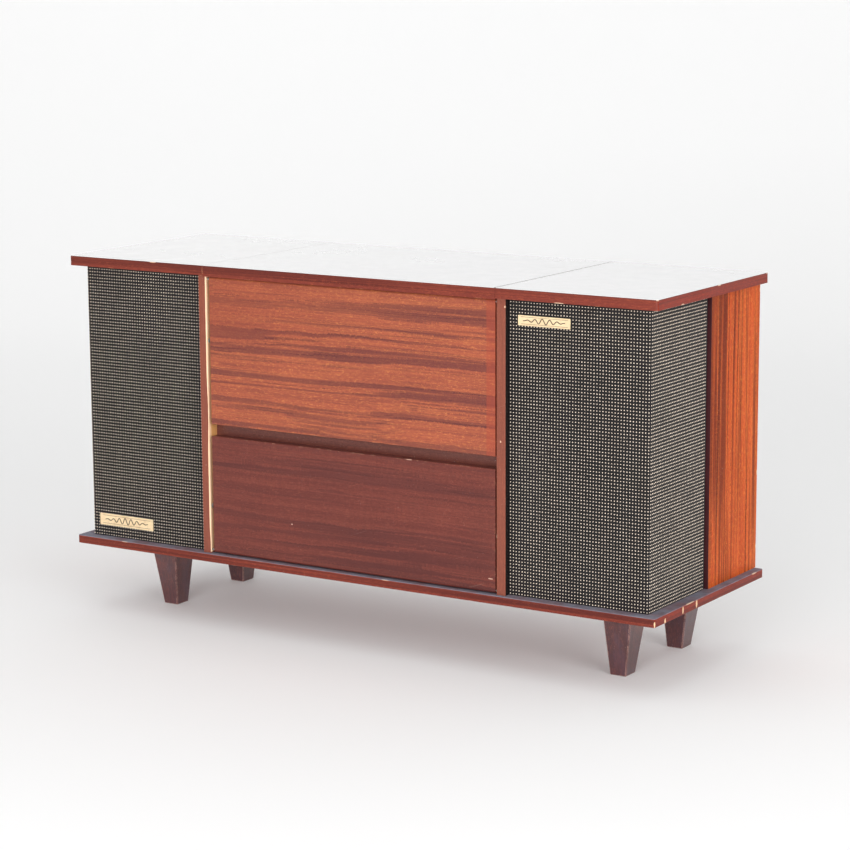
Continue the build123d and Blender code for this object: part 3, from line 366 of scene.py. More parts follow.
def upper_flap_marks(net, pos, colour):
    """A redder strip down the right edge, and darker wood to the upper left."""
    x, _, z = net.split(pos)
    strip = net.band(x, lo=0.2780, hi=0.2795) * 0.45
    colour = net.mix(strip, colour, srgb(158, 66, 46))
    corner = (net.remap(x, lo=-0.26, hi=0.06, to=(1.0, 0.0))
              * (net.band(z, lo=0.50, hi=0.56) * 0.30))
    return net.mix(corner, colour, srgb(120, 50, 42))


# Tables of marks: centre x, y, z, then radius x, y, z
LOWER_FLAP_SCUFFS = [
    (0.125, -0.1985, 0.3535, 0.006, 0.004, 0.0012),
    (0.286, -0.199, 0.166, 0.0055, 0.003, 0.0014),
    (-0.12, -0.199, 0.213, 0.0022, 0.003, 0.0014),
]
PANEL_CHIPS = [
    (0.584, 0.204, 0.310, 0.003, 0.0036, 0.007), (0.584, 0.204, 0.628, 0.003, 0.003, 0.005),
    (0.584, 0.204, 0.178, 0.003, 0.003, 0.004), (-0.584, 0.204, 0.42, 0.003, 0.0036, 0.008),
    (-0.584, 0.204, 0.16, 0.003, 0.003, 0.005),
]
DIVIDER_CHIPS = [
    (0.3145, -0.199, 0.628, 0.0022, 0.003, 0.0022), (0.298, -0.199, 0.24, 0.0012, 0.003, 0.004),
    (0.306, -0.199, 0.402, 0.0016, 0.003, 0.0022),
]


def lower_flap_marks(net, pos, colour):
    """Scuffs on the upper edge and a few marks low down."""
    return net.mix(net.spots(pos, LOWER_FLAP_SCUFFS) * 0.65, colour, srgb(214, 170, 150))


def panel_marks(net, pos, colour):
    """Darker in front of y = 0.018; the back edge is chipped."""
    _, y, _ = net.split(pos)
    front = 1.0 - net.band(y, lo=0.0181, hi=0.0187)
    # the panel's front edge takes darker maroon colours, in front of y = 0.018
    darkening = net.mix(net.noise(pos, scale=40.0), srgb(52, 26, 30), srgb(74, 38, 40))
    colour = net.mix(front, colour, darkening)
    return net.mix(net.spots(pos, PANEL_CHIPS), colour, srgb(226, 186, 150))


CLOTH_FACE_COLOUR = srgb(25, 20, 20)       # the dividers' sides towards the cloth


def divider_left_marks(net, pos, colour):
    """A pale unstained strip down the edge towards the flaps, a near-black outer side."""
    x, y, z = net.split(pos)
    # the strip narrows round z = 0.392 and towards the foot, and its edge wavers
    full = net.band(abs(z - 0.392), lo=0.012, hi=0.075) * net.band(z, lo=0.150, hi=0.200)
    width = (1.0 - (1.0 - full) * 0.62) * 0.0026
    width = width + (net.noise(net.join(0.0, 0.0, z * 46.0)) - 0.5) * 0.0011
    limit = -0.2980 - width
    strip = net.band(x - limit, lo=0.0, hi=0.00025) * net.band(z, lo=0.1415, hi=0.1425)
    pale = net.mix(net.noise(along(net, "z", pos), scale=30.0, detail=4.0),
                   srgb(255, 222, 190), srgb(246, 196, 152))
    behind = net.band(y, lo=-0.1975, hi=-0.188)
    inner = net.mix(net.noise(net.join(x * 300.0, y * 260.0, z * 12.0)),
                    srgb(236, 178, 112), srgb(206, 142, 84))
    colour = net.mix(strip, colour, net.mix(behind, pale, inner))
    outer = (1.0 - net.band(x, lo=-0.31495, hi=-0.3147)) * net.band(y, lo=-0.1985, hi=-0.1975)
    return net.mix(outer, colour, CLOTH_FACE_COLOUR)


def divider_right_marks(net, pos, colour):
    """A near-black outer side and a few chips."""
    x, y, _ = net.split(pos)
    outer = net.band(x, lo=0.3147, hi=0.31495) * net.band(y, lo=-0.1985, hi=-0.1975)
    colour = net.mix(outer, colour, CLOTH_FACE_COLOUR)
    return net.mix(net.spots(pos, DIVIDER_CHIPS) * 0.8, colour, srgb(222, 180, 150))


def leg_marks(net, pos, colour):
    """Purplish clouds in the stain, a redder upper part, scuffs, and a pale arris: a painted
    highlight, broken up like wear.
    """
    x, y, z = net.split(pos)
    cloud = net.noise(net.join(x * 30.0, y * 30.0, z * 16.0), detail=4.0, rough=0.6)
    colour = net.mix(net.band(cloud, lo=0.46, hi=0.66) * 0.40, colour, srgb(80, 56, 70))
    red = net.band(z, lo=0.050, hi=0.120) * net.band(net.noise(pos, scale=22.0), lo=0.45, hi=0.60)
    colour = net.mix(red * 0.45, colour, srgb(150, 66, 44))
    scuff = net.noise(net.join(x * 90.0, y * 90.0, z * 380.0), rough=0.7)
    colour = net.mix(net.band(scuff, lo=0.66, hi=0.76) * 0.45, colour, srgb(158, 128, 124))
    # painted highlight: pale colour along the arrises, broken up by noise
    edge = net.edge(0.0016)
    arris = (net.band(edge, lo=0.12, hi=0.45)
             * net.band(net.noise(pos, scale=60.0, detail=4.0, rough=0.65), lo=0.36, hi=0.52))
    return net.mix(arris * 0.75, colour, srgb(206, 160, 142))


# ------------------------------------------------------------------ top and base slabs
TOP_CHIPS = [
    (0.600, -0.207, 0.6590, 0.004, 0.004, 0.0016), (0.600, 0.196, 0.6588, 0.003, 0.004, 0.0014),
    (0.600, 0.012, 0.6588, 0.003, 0.006, 0.0014), (0.600, -0.120, 0.6424, 0.003, 0.006, 0.0014),
    (-0.600, -0.207, 0.648, 0.003, 0.003, 0.003), (0.42, -0.207, 0.6422, 0.010, 0.003, 0.0010),
    (-0.41, -0.207, 0.6588, 0.009, 0.003, 0.0010),
]
LAMINATE_MARKS = [
    (-0.470, 0.155, 0.660, 0.006, 0.004, 0.01), (0.556, 0.150, 0.660, 0.006, 0.004, 0.01),
]
BASE_CHIPS = [
    (0.600, -0.170, 0.1275, 0.003, 0.0034, 0.0066), (0.600, -0.106, 0.1330, 0.003, 0.0026, 0.0072),
    (0.600, -0.056, 0.1330, 0.003, 0.0034, 0.0076), (0.600, -0.080, 0.1394, 0.003, 0.020, 0.0011),
    (0.600, -0.135, 0.1228, 0.003, 0.030, 0.0011), (0.600, 0.030, 0.1238, 0.003, 0.011, 0.0024),
    (0.600, 0.165, 0.1392, 0.003, 0.010, 0.0016), (0.600, -0.206, 0.130, 0.0022, 0.0022, 0.007),
    (0.52, -0.207, 0.1222, 0.016, 0.003, 0.0013), (0.30, -0.207, 0.1222, 0.012, 0.003, 0.0011),
    (0.08, -0.207, 0.1394, 0.010, 0.003, 0.0011), (-0.37, -0.207, 0.1222, 0.014, 0.003, 0.0013),
    (-0.49, -0.207, 0.1394, 0.008, 0.003, 0.0011), (-0.600, -0.03, 0.139, 0.003, 0.012, 0.002),
]


def slab_edges(net, pos, x, seed):
    """Worn wooden edges all round: colour and grain."""
    figure = dict(ribbon=1.5, wave=0.12, streak=0.8, band=0.9, curl=0.4, gold=0.35)
    long_edge, grain = wood_colour(net, along(net, "x", pos), EDGE, seed, **figure)
    end, _ = wood_colour(net, along(net, "y", pos), END, seed + 3, **figure)
    colour = net.mix(net.band(abs(x), lo=0.5985, hi=0.5995), long_edge, end)
    edge = net.edge(0.0018)
    chips = net.band(net.noise(pos, scale=38.0, detail=5.0, rough=0.7), lo=0.56, hi=0.66)
    wear = net.band(edge, lo=0.08, hi=0.5) * chips * 0.70
    return net.mix(wear, colour, srgb(206, 140, 104)), grain


def slab_surface(net, pos, colour, grain, haze, relief, **values):
    height = (wood_height(grain) + net.noise(pos, scale=55.0) * 0.3) * relief
    return net.surface(
        colour=colour, coat_rough=net.remap(haze, lo=0.3, hi=0.7, to=(0.06, 0.14)),
        normal=net.bump(height, strength=0.08, distance=0.0004), **values)


def top_slab():
    """Pale laminate on top, wooden edges."""
    net = Net("slab_top")
    pos = net.position()
    x, _, z = net.split(pos)
    colour, grain = slab_edges(net, pos, x, seed=14.0)
    haze = net.noise(pos, scale=8.0, detail=4.0, rough=0.6)
    colour = net.mix(net.spots(pos, TOP_CHIPS), colour, srgb(228, 190, 160))
    face = net.band(z, lo=0.65930, hi=0.65955)
    smudge = net.noise(pos, scale=2.2, detail=4.0)
    laminate = net.mix(net.remap(smudge, lo=0.35, hi=0.7), srgb(235, 234, 234),
                       srgb(232, 231, 231))
    # painted shade: the laminate is made greyer from the middle to the right end
    laminate = net.mix(net.remap(x, lo=-0.50, hi=0.10), laminate, srgb(222, 221, 222))
    fleck = net.band(net.noise(pos, scale=170.0, detail=2.0), lo=0.735, hi=0.80)
    laminate = net.mix(fleck * 0.12, laminate, srgb(150, 140, 132))
    # seams beside the lid: a grey-brown line, clear on the right and faint on the left
    right = 1.0 - net.band(abs(x - SEAM_X), lo=0.0013, hi=0.0023)
    left = 1.0 - net.band(abs(x + SEAM_X), lo=0.0006, hi=0.0012)
    seams = net.math("ADD", right * 0.95, left * 0.30, clamp=True)
    laminate = net.mix(seams, laminate, srgb(92, 80, 76))
    laminate = net.mix(net.spots(pos, LAMINATE_MARKS) * 0.8, laminate, srgb(60, 50, 48))
    # a thin brown line shows the laminate's cut edge
    rim = net.band(z, lo=0.6585, hi=0.6589) * (1.0 - face)
    colour = net.mix(rim * 0.45, colour, srgb(60, 34, 30))
    colour = net.mix(face, colour, laminate)
    wood_rough = net.remap(haze, lo=0.3, hi=0.7, to=(0.30, 0.42))
    laminate_rough = net.remap(haze, lo=0.3, hi=0.7, to=(0.14, 0.24))
    return slab_surface(
        net, pos, colour, grain, haze, relief=net.mix_float(face, 1.0, 0.02),
        rough=net.mix_float(face, wood_rough, laminate_rough),
        coat=net.mix_float(face, 0.06, 0.8), specular=net.mix_float(face, 0.16, 0.5))


def base_slab():
    """Wooden edges, clean wood behind the flaps, and a dusty top elsewhere."""
    net = Net("slab_base")
    pos = net.position()
    x, y, z = net.split(pos)
    colour, grain = slab_edges(net, pos, x, seed=17.0)
    haze = net.noise(pos, scale=8.0, detail=4.0, rough=0.6)
    colour = net.mix(net.spots(pos, BASE_CHIPS), colour, srgb(232, 190, 150))
    inside = ((1.0 - net.band(abs(x), lo=0.2985, hi=0.3000))
              * net.band(y, lo=-0.193, hi=-0.186))
    top_face = net.band(z, lo=0.1385, hi=0.1395)
    dusty_face = top_face * (1.0 - inside)
    floor, _ = wood_colour(net, along(net, "x", pos), SHELF, seed=41.0)
    colour = net.mix(top_face * inside, colour, floor)
    patches = net.noise(pos, scale=24.0, detail=6.0, rough=0.7)
    dust = dusty_face * net.remap(patches, lo=0.32, hi=0.62, to=(0.40, 0.90))
    dust_colour = net.mix(net.noise(pos, scale=60.0, detail=4.0, rough=0.7),
                          srgb(96, 100, 114), srgb(150, 154, 168))
    colour = net.mix(dust, colour, dust_colour)
    wood_rough = net.remap(haze, lo=0.3, hi=0.7, to=(0.32, 0.44))
    return slab_surface(
        net, pos, colour, grain, haze, relief=1.0, rough=net.mix_float(dust, wood_rough, 0.85),
        coat=(1.0 - dust) * 0.04, specular=0.14)


# ------------------------------------------------------------------ other materials
def raw_wood(name, axis, seed):
    net = Net(name)
    pos = net.position()
    colour, grain = wood_colour(net, along(net, axis, pos), RAW, seed, ribbon=0.8, wave=1.6,
                                streak=0.25, pore=0.3, band=0.3)
    darkening = net.noise(pos, scale=9.0, detail=5.0, rough=0.65)
    return net.surface(
        colour=net.mix(net.remap(darkening, lo=0.45, hi=0.75, to=(0.0, 0.35)), colour,
                       srgb(92, 70, 52)),
        rough=net.remap(darkening, lo=0.3, hi=0.7, to=(0.62, 0.82)),
        normal=net.bump(wood_height(grain), strength=0.35, distance=0.0006))


def hardboard():
    net = Net("hardboard")
    pos = net.position()
    x, y, z = net.split(pos)
    fibres = net.noise(net.join(x * 1.0, y * 1.0, z * 1.0), scale=700.0, detail=5.0, rough=0.75,
                       distortion=1.5)
    blot = net.noise(pos, scale=6.0, detail=6.0, rough=0.7)
    colour = net.mix(net.remap(fibres, lo=0.3, hi=0.7), srgb(86, 58, 40), srgb(122, 86, 60))
    return net.surface(
        colour=net.mix(net.remap(blot, lo=0.4, hi=0.75, to=(0.0, 0.4)), colour, srgb(66, 46, 34)),
        rough=net.remap(blot, lo=0.3, hi=0.7, to=(0.62, 0.85)),
        normal=net.bump(fibres, strength=0.3, distance=0.0005))


def plain(name, colour, rough, metal=0.0, vary=0.12, scale=30.0, bump=0.05, bump_scale=300.0,
          coat=0.0, dirt=None, wear=None):
    """One colour, varied by the given share, with optional grime and worn-edge colours."""
    net = Net(name)
    pos = net.position()
    blotches = net.noise(pos, scale=scale, detail=5.0, rough=0.6)
    relief = net.noise(pos, scale=bump_scale, rough=0.6)
    shown = net.mix(net.remap(blotches, lo=0.3, hi=0.7), tint(colour, 1 - vary),
                    tint(colour, 1 + vary))
    if dirt:
        grime = net.noise(pos, scale=scale * 2.3, detail=6.0, rough=0.7)
        shown = net.mix(net.band(grime, lo=0.52, hi=0.75) * 0.5, shown, dirt)
    if wear:
        worn = (net.band(net.edge(0.0008), lo=0.1, hi=0.6)
                * net.band(net.noise(pos, scale=140.0), lo=0.42, hi=0.6))
        shown = net.mix(worn, shown, wear)
    sheen = net.noise(pos, scale=scale * 1.7, detail=4.0, rough=0.6)
    return net.surface(
        colour=shown, metal=metal, coat=coat,
        rough=net.remap(sheen, lo=0.3, hi=0.7, to=(max(0.02, rough - 0.08), min(1.0, rough + 0.10))),
        normal=net.bump(relief, strength=bump, distance=0.0004))


def turned(name, colour, centre, rough):
    """Turned aluminium: rings round the centre (x, y)."""
    net = Net(name)
    pos = net.position()
    x, y, z = net.split(pos)
    right, back = x - centre[0], y - centre[1]
    radius = net.math("SQRT", right * right + back * back)
    rings = net.noise(net.join(radius * 1800.0, z * 300.0, 0.0), rough=0.6)
    blot = net.noise(pos, scale=30.0, detail=4.0, rough=0.6)
    shown = net.mix(rings, tint(colour, 0.85), colour)
    return net.surface(
        colour=net.mix(net.remap(blot, lo=0.5, hi=0.75, to=(0.0, 0.35)), shown, tint(colour, 0.6)),
        metal=1.0,
        rough=net.remap(rings, lo=0.3, hi=0.7, to=(rough - 0.06, rough + 0.1)),
        normal=net.bump(rings, strength=0.10, distance=0.0003))


def glass(name, colour, rough):
    net = Net(name)
    pos = net.position()
    smears = net.noise(pos, scale=30.0, detail=4.0, rough=0.6)
    return net.surface(
        colour=net.mix(smears, colour, tint(colour, 0.93)),
        rough=net.remap(smears, lo=0.3, hi=0.8, to=(rough, rough + 0.05)),
        transmission=1.0, ior=1.5,
        normal=net.bump(net.noise(pos, scale=60.0, detail=2.0), strength=0.02, distance=0.0005))


def speaker():
    """Dark ringed paper in front, lighter behind y = -0.149."""
    net = Net("speaker")
    pos = net.position()
    x, y, z = net.split(pos)
    radius = net.math("SQRT", (abs(x) - 0.446) ** 2.0 + (z - 0.330) ** 2.0)
    rings = net.math("SINE", radius * 1400.0)
    fibres = net.noise(pos, scale=500.0, detail=4.0, rough=0.7)
    rear = net.band(y, lo=-0.150, hi=-0.148)
    cone = net.mix(fibres, srgb(34, 32, 32), srgb(58, 54, 52))
    basket = net.mix(fibres, srgb(120, 118, 112), srgb(140, 138, 130))
    return net.surface(
        colour=net.mix(rear, cone, basket),
        rough=net.remap(fibres, lo=0.3, hi=0.7, to=(0.6, 0.8)),
        normal=net.bump(rings * 0.5 + fibres, strength=0.3, distance=0.0006))


def cloth_ground():
    net = Net("cloth_ground")
    pos = net.position()
    fibres = net.noise(pos, scale=1400.0, rough=0.7)
    dust = net.noise(pos, scale=5.0, detail=5.0, rough=0.65)
    colour = net.mix(fibres, srgb(9, 8, 9), srgb(23, 19, 20))
    return net.surface(
        colour=net.mix(net.remap(dust, lo=0.4, hi=0.75, to=(0.0, 0.06)), colour, srgb(96, 90, 88)),
        rough=net.remap(fibres, lo=0.3, hi=0.7, to=(0.55, 0.8)),
        sheen=0.10, specular=0.25,
        normal=net.bump(fibres, strength=0.4, distance=0.0003))


def cloth_float():
    net = Net("cloth_float")
    pos = net.position()
    x, y, z = net.split(pos)
    fibres = net.noise(net.join(x * 1.0, y * 1.0, z * 4.0), scale=1500.0, rough=0.7)
    soil = net.noise(pos, scale=60.0, detail=5.0, rough=0.7)
    colour = net.mix(fibres, srgb(226, 206, 186), srgb(246, 228, 208))
    return net.surface(
        colour=net.mix(net.remap(soil, lo=0.40, hi=0.78, to=(0.0, 0.55)), colour,
                       srgb(150, 136, 120)),
        rough=net.remap(fibres, lo=0.3, hi=0.7, to=(0.5, 0.75)),
        sheen=0.3,
        normal=net.bump(fibres, strength=0.4, distance=0.0002))


def badge_plate():
    """Brushed satin metal, a little tarnished."""
    net = Net("badge_plate")
    pos = net.position()
    x, y, z = net.split(pos)
    brushed = net.noise(net.join(x * 20.0, y * 400.0, z * 2600.0), detail=2.0, rough=0.6)
    tarnish = net.noise(pos, scale=70.0, detail=5.0, rough=0.7)
    colour = net.mix(brushed, srgb(236, 206, 160), srgb(250, 228, 190))
    return net.surface(
        colour=net.mix(net.remap(tarnish, lo=0.45, hi=0.75, to=(0.0, 0.5)), colour,
                       srgb(190, 156, 112)),
        metal=0.35,
        rough=net.remap(tarnish, lo=0.3, hi=0.7, to=(0.30, 0.48)),
        normal=net.bump(brushed, strength=0.12, distance=0.0002))


# ------------------------------------------------------------------ CAD pieces
def dress(material, *pieces):
    for piece in pieces:
        mesh = NODES[piece].data
        mesh.materials.clear()
        mesh.materials.append(material)


dress(veneer("door_up", "x", DOOR, seed=2.0, rough=0.34, coat=0.15, coat_rough=0.14,
             specular=0.2, band=0.85, streak=0.75, gold=0.36, curl=0.75, ribbon=1.15,
             specks=0.10, extra=upper_flap_marks), "upper_flap")
dress(veneer("door_low", "x", DOOR_LOW, seed=11.0, rough=0.32, coat=0.40, coat_rough=0.035,
             specular=0.12, band=0.8, gold=0.22, specks=0.10, extra=lower_flap_marks),
      "lower_flap")
dress(veneer("panel", "z", PANEL, seed=5.0, rough=0.38, coat=0.02, coat_rough=0.16, ribbon=0.65,
             wave=0.20, streak=0.95, band=1.0, curl=0.5, gold=0.35, wear_radius=0.0016,
             specular=0.05, extra=panel_marks), "side_panel_left", "side_panel_right")
for piece, seed, marks in (("divider_left", 8.0, divider_left_marks),
                           ("divider_right", 9.0, divider_right_marks)):
    dress(veneer(piece, "z", DIVIDER, seed=seed, rough=0.36, coat=0.2, coat_rough=0.18,
                 ribbon=2.4, wave=0.3, band=0.35, curl=0.5, gold=0.2, extra=marks), piece)
dress(veneer("gap", "x", SHELF, seed=4.0, rough=0.35, coat=0.2, ribbon=2.0, wave=0.4, band=0.4),
      "shelf_board")
dress(veneer("leg", "z", LEG, seed=3.0, rough=0.33, coat=0.7, coat_rough=0.12, ribbon=1.6,
             wave=0.6, band=0.6, wear=0.0, specular=0.4, extra=leg_marks),
      "leg_front_left", "leg_front_right", "leg_back_left", "leg_back_right")
dress(veneer("fascia", "x", DOOR_LOW, seed=21.0, rough=0.3, coat=0.5), "radio_fascia")
dress(top_slab(), "top_board_left", "top_board_right", "lid_board")
dress(base_slab(), "base_board")
dress(raw_wood("raw_x", "x", seed=31.0), "rear_rail", "deck_board")
dress(raw_wood("raw_z", "z", seed=33.0), "baffle_left", "baffle_right")
dress(hardboard(), "back_cover")
dress(plain("plated_steel", srgb(178, 176, 170), rough=0.34, metal=1.0, vary=0.10, scale=40.0,
            bump=0.12, bump_scale=500.0, dirt=srgb(92, 74, 58)),
      "back_cover_screws", "leg_bolts", "lid_hinge_fixed_leaf", "lid_hinge_moving_leaf",
      "flap_pivot_pins", "stay_pins", "lid_stay_bracket", "lid_stay_arm", "upper_stay_arm",
      "lower_stay_arm", "motor_pulley")
dress(plain("zinc_chassis", srgb(158, 160, 164), rough=0.42, metal=1.0, vary=0.10, scale=22.0,
            bump=0.10, bump_scale=160.0, dirt=srgb(120, 112, 100)),
      "radio_chassis", "turntable_motor")
dress(plain("dark_enamel", srgb(44, 44, 48), rough=0.42, metal=0.2, vary=0.2, scale=24.0,
            bump=0.15, bump_scale=260.0, dirt=srgb(90, 84, 78)), "mains_transformer")
dress(plain("deck_enamel", srgb(216, 208, 190), rough=0.36, vary=0.05, scale=18.0, bump=0.35,
            bump_scale=420.0, coat=0.5, dirt=srgb(170, 158, 136), wear=srgb(120, 112, 100)),
      "turntable_plate")
ivory = plain("ivory_plastic", srgb(232, 222, 196), rough=0.26, vary=0.05, scale=26.0, bump=0.06,
              bump_scale=200.0, coat=0.4, dirt=srgb(190, 168, 128))
dress(ivory, "tuning_knob", "volume_knob", "tone_knob", "push_button_1", "push_button_2",
      "push_button_3", "push_button_4", "tonearm", "speed_lever")
dress(plain("brown_flex", srgb(64, 42, 34), rough=0.45, vary=0.15, bump=0.15, bump_scale=600.0),
      "mains_cable")
dress(plain("rubber", srgb(34, 33, 34), rough=0.72, vary=0.2, scale=60.0, bump=0.35,
            bump_scale=1200.0, dirt=srgb(84, 80, 76)), "platter_mat", "idler_wheel")
dress(plain("catch_brown", srgb(74, 44, 38), rough=0.4, metal=0.1, vary=0.15, scale=60.0,
            bump=0.1, bump_scale=400.0), "flap_catch")
dress(plain("pointer_red", srgb(206, 40, 28), rough=0.35, vary=0.1, scale=40.0, coat=0.3),
      "dial_pointer")
dress(turned("turned_platter", srgb(214, 214, 216), centre=(-0.060, 0.025), rough=0.28),
      "platter")
dress(turned("turned_turret", srgb(206, 206, 208), centre=(0.130, 0.125), rough=0.24),
      "tonearm_turret")
dress(glass("dial_glass", (0.96, 0.98, 0.97), rough=0.03), "dial_glass")
dress(glass("valve_glass", (0.86, 0.88, 0.88), rough=0.05), "valves")
dress(speaker(), "loudspeaker_left", "loudspeaker_right")


# ------------------------------------------------------------------ made pieces
def mesh_piece(name, verts, faces, materials, material_index=None, smooth=False):
    """A new object; faces are a list, or an array for big meshes."""
    mesh = bpy.data.meshes.new(name)
    verts = np.asarray(verts, np.float32).reshape(-1, 3)
    if isinstance(faces, np.ndarray):
        count, corners = faces.shape
        mesh.vertices.add(len(verts))
        mesh.vertices.foreach_set("co", verts.ravel())
        mesh.loops.add(count * corners)
        mesh.loops.foreach_set("vertex_index", faces.ravel().astype(np.int32))
        mesh.polygons.add(count)
        starts = np.arange(0, count * corners, corners, dtype=np.int32)
        mesh.polygons.foreach_set("loop_start", starts)
        mesh.polygons.foreach_set("loop_total", np.full(count, corners, np.int32))
    else:
        mesh.from_pydata(verts.tolist(), [], faces)
    for material in materials:
        mesh.materials.append(material)
    if material_index is not None:
        mesh.polygons.foreach_set("material_index", np.asarray(material_index, np.int32))
    mesh.polygons.foreach_set("use_smooth", np.full(len(mesh.polygons), smooth))
    mesh.update(calc_edges=True)
    mesh.validate()
    piece = bpy.data.objects.new(name, mesh)
    bpy.context.scene.collection.objects.link(piece)
    return piece


def fitted_piece(name, verts, faces, material, body="cabinet"):
    piece = mesh_piece(name, verts, faces, [material])
    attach(piece, body)


# ------------------------------------------------------------------ grille cloth
def cloth_path(s):
    """Plan points and outward normals at arc lengths s from the divider, right bay."""
    points = np.zeros((len(s), 2))
    normals = np.zeros((len(s), 2))
    front = s <= CLOTH_STRAIGHT
    points[front] = np.stack([CLOTH_START + s[front], np.full(front.sum(), CLOTH_FRONT)], 1)
    normals[front] = (0, -1)
    bend = (s > CLOTH_STRAIGHT) & (s <= CLOTH_STRAIGHT + CLOTH_ARC)
    turn = (s[bend] - CLOTH_STRAIGHT) / CORNER
    points[bend] = np.stack([CLOTH_SIDE - CORNER + CORNER * np.sin(turn),
                             CLOTH_FRONT + CORNER - CORNER * np.cos(turn)], 1)
    normals[bend] = np.stack([np.sin(turn), -np.cos(turn)], 1)
    side = s > CLOTH_STRAIGHT + CLOTH_ARC
    points[side] = np.stack([np.full(side.sum(), CLOTH_SIDE),
                             CLOTH_FRONT + CORNER + (s[side] - CLOTH_STRAIGHT - CLOTH_ARC)], 1)
    normals[side] = (1, 0)
    return points, normals


def cloth_points(s, z, lift):
    """Points at arc length s and height z, raised outward by lift."""
    s, z, lift = np.broadcast_arrays(np.clip(s, 0, CLOTH_LENGTH), z, lift)
    plan, normals = cloth_path(s.ravel())
    plan = plan + normals * lift.reshape(-1, 1)
    return np.concatenate([plan, z.reshape(-1, 1)], 1).reshape(*s.shape, 3)


def cloth_skin():
    """The woven ground, a closed thin skin."""
    step = CLOTH_PITCH / 4
    s_count = int(round(CLOTH_LENGTH / step))
    z_count = int(round((CLOTH_TOP - CLOTH_BOTTOM) / step))
    s, z = np.meshgrid(np.linspace(0, CLOTH_LENGTH, s_count + 1),
                       np.linspace(CLOTH_BOTTOM, CLOTH_TOP, z_count + 1), indexing="ij")
    u = s / CLOTH_PITCH * 2 * math.pi
    v = (z - CLOTH_BOTTOM) / CLOTH_PITCH * 2 * math.pi
    relief = (0.00022 * np.cos(u) * np.cos(v) + 0.00012 * np.cos(2 * u)
              + 0.00010 * np.cos(2 * v) - 0.0004)
    slack = 0.0002 * np.sin(s * 31.0 + 1.3) * np.sin(z * 23.0)
    outer = cloth_points(s, z, relief + slack).reshape(-1, 3)
    inner = cloth_points(s, z, -0.0012).reshape(-1, 3)
    grid = np.arange(len(outer)).reshape(s.shape)
    faces = np.stack([grid[:-1, :-1], grid[1:, :-1], grid[1:, 1:], grid[:-1, 1:]], -1)
    faces = faces.reshape(-1, 4)
    back = len(outer)
    loop = [*grid[:, 0], *grid[-1, 1:], *grid[-2::-1, -1], *grid[0, -2::-1]]
    rim = [(b, a, a + back, b + back) for a, b in zip(loop[:-1], loop[1:])]
    return (np.concatenate([outer, inner]),
            np.concatenate([faces, faces[:, ::-1] + back, np.array(rim)]))


def cloth_floats():
    """A small domed octagon at every crossing of the lattice."""
    sides = 8
    s, z = np.meshgrid(
        np.arange(CLOTH_PITCH * 0.5, CLOTH_LENGTH - CLOTH_PITCH * 0.2, CLOTH_PITCH),
        np.arange(CLOTH_BOTTOM + CLOTH_PITCH * 0.5, CLOTH_TOP - CLOTH_PITCH * 0.2, CLOTH_PITCH),
        indexing="ij")
    s, z = s.ravel(), z.ravel()
    count = len(s)
    jitter = rng.normal(0, 0.00010, (count, 2))
    s, z = s + jitter[:, 0], z + jitter[:, 1]
    angles = np.arange(sides) * 2 * math.pi / sides + math.pi / 8
    half_s = 0.00102 * rng.uniform(0.86, 1.10, count)
    half_z = 0.00100 * rng.uniform(0.82, 1.12, count)
    rings = []
    for share, lift in ((1.0, -0.0003), (0.92, 0.00042), (0.55, 0.00078)):
        rings.append(cloth_points(s[:, None] + half_s[:, None] * share * np.cos(angles),
                                  z[:, None] + half_z[:, None] * share * np.sin(angles), lift))
    crown = cloth_points(s, z, 0.00086)[:, None]
    verts = np.concatenate(rings + [crown], 1)
    quads = []
    for ring in (0, sides):
        for i in range(sides):
            j = (i + 1) % sides
            quads.append([ring + i, ring + j, ring + sides + j, ring + sides + i])
    last = 2 * sides
    for i in range(0, sides, 2):
        quads.append([last + i, last + i + 1, last + (i + 2) % sides, last + sides])
    first = (np.arange(count) * verts.shape[1])[:, None, None]
    return verts.reshape(-1, 3), (first + np.array(quads)).reshape(-1, 4)


def cloth(side, sign, materials):
    """Black cords woven both ways with cream floats; the left bay mirrors the right."""
    skin, skin_faces = cloth_skin()
    floats, float_faces = cloth_floats()
    verts = np.concatenate([skin, floats])
    verts[:, 0] *= sign
    faces = np.concatenate([skin_faces, float_faces + len(skin)])
    if sign < 0:
        faces = faces[:, ::-1]
    index = np.repeat([0, 1], [len(skin_faces), len(float_faces)])
    piece = mesh_piece("grille_weave_" + side, verts, faces, materials, index, smooth=True)
    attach(piece, "cabinet")
    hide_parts("grille_cloth_" + side)


cloth_materials = [cloth_ground(), cloth_float()]
cloth("right", 1, cloth_materials)
cloth("left", -1, cloth_materials)


# ------------------------------------------------------------------ badges and dial
# Strokes of each digit, as (x, z) shares of its height
DIGITS = {
    "0": [[(0, 0), (0, 1), (0.6, 1), (0.6, 0), (0, 0)]],
    "1": [[(0.1, 0.78), (0.32, 1), (0.32, 0)]],
    "2": [[(0, 1), (0.6, 1), (0.6, 0.52), (0, 0.48), (0, 0), (0.6, 0)]],
    "3": [[(0, 1), (0.6, 1), (0.6, 0), (0, 0)], [(0.1, 0.5), (0.6, 0.5)]],
    "4": [[(0.45, 0), (0.45, 1), (0, 0.34), (0.62, 0.34)]],
    "5": [[(0.6, 1), (0, 1), (0, 0.52), (0.6, 0.5), (0.6, 0), (0, 0)]],
    "6": [[(0.6, 1), (0, 1), (0, 0), (0.6, 0), (0.6, 0.5), (0, 0.5)]],
    "7": [[(0, 1), (0.6, 1), (0.2, 0)]],
    "8": [[(0, 0), (0, 1), (0.6, 1), (0.6, 0), (0, 0)], [(0, 0.5), (0.6, 0.5)]],
    "9": [[(0, 0), (0.6, 0), (0.6, 1), (0, 1), (0, 0.5), (0.6, 0.5)]],
}


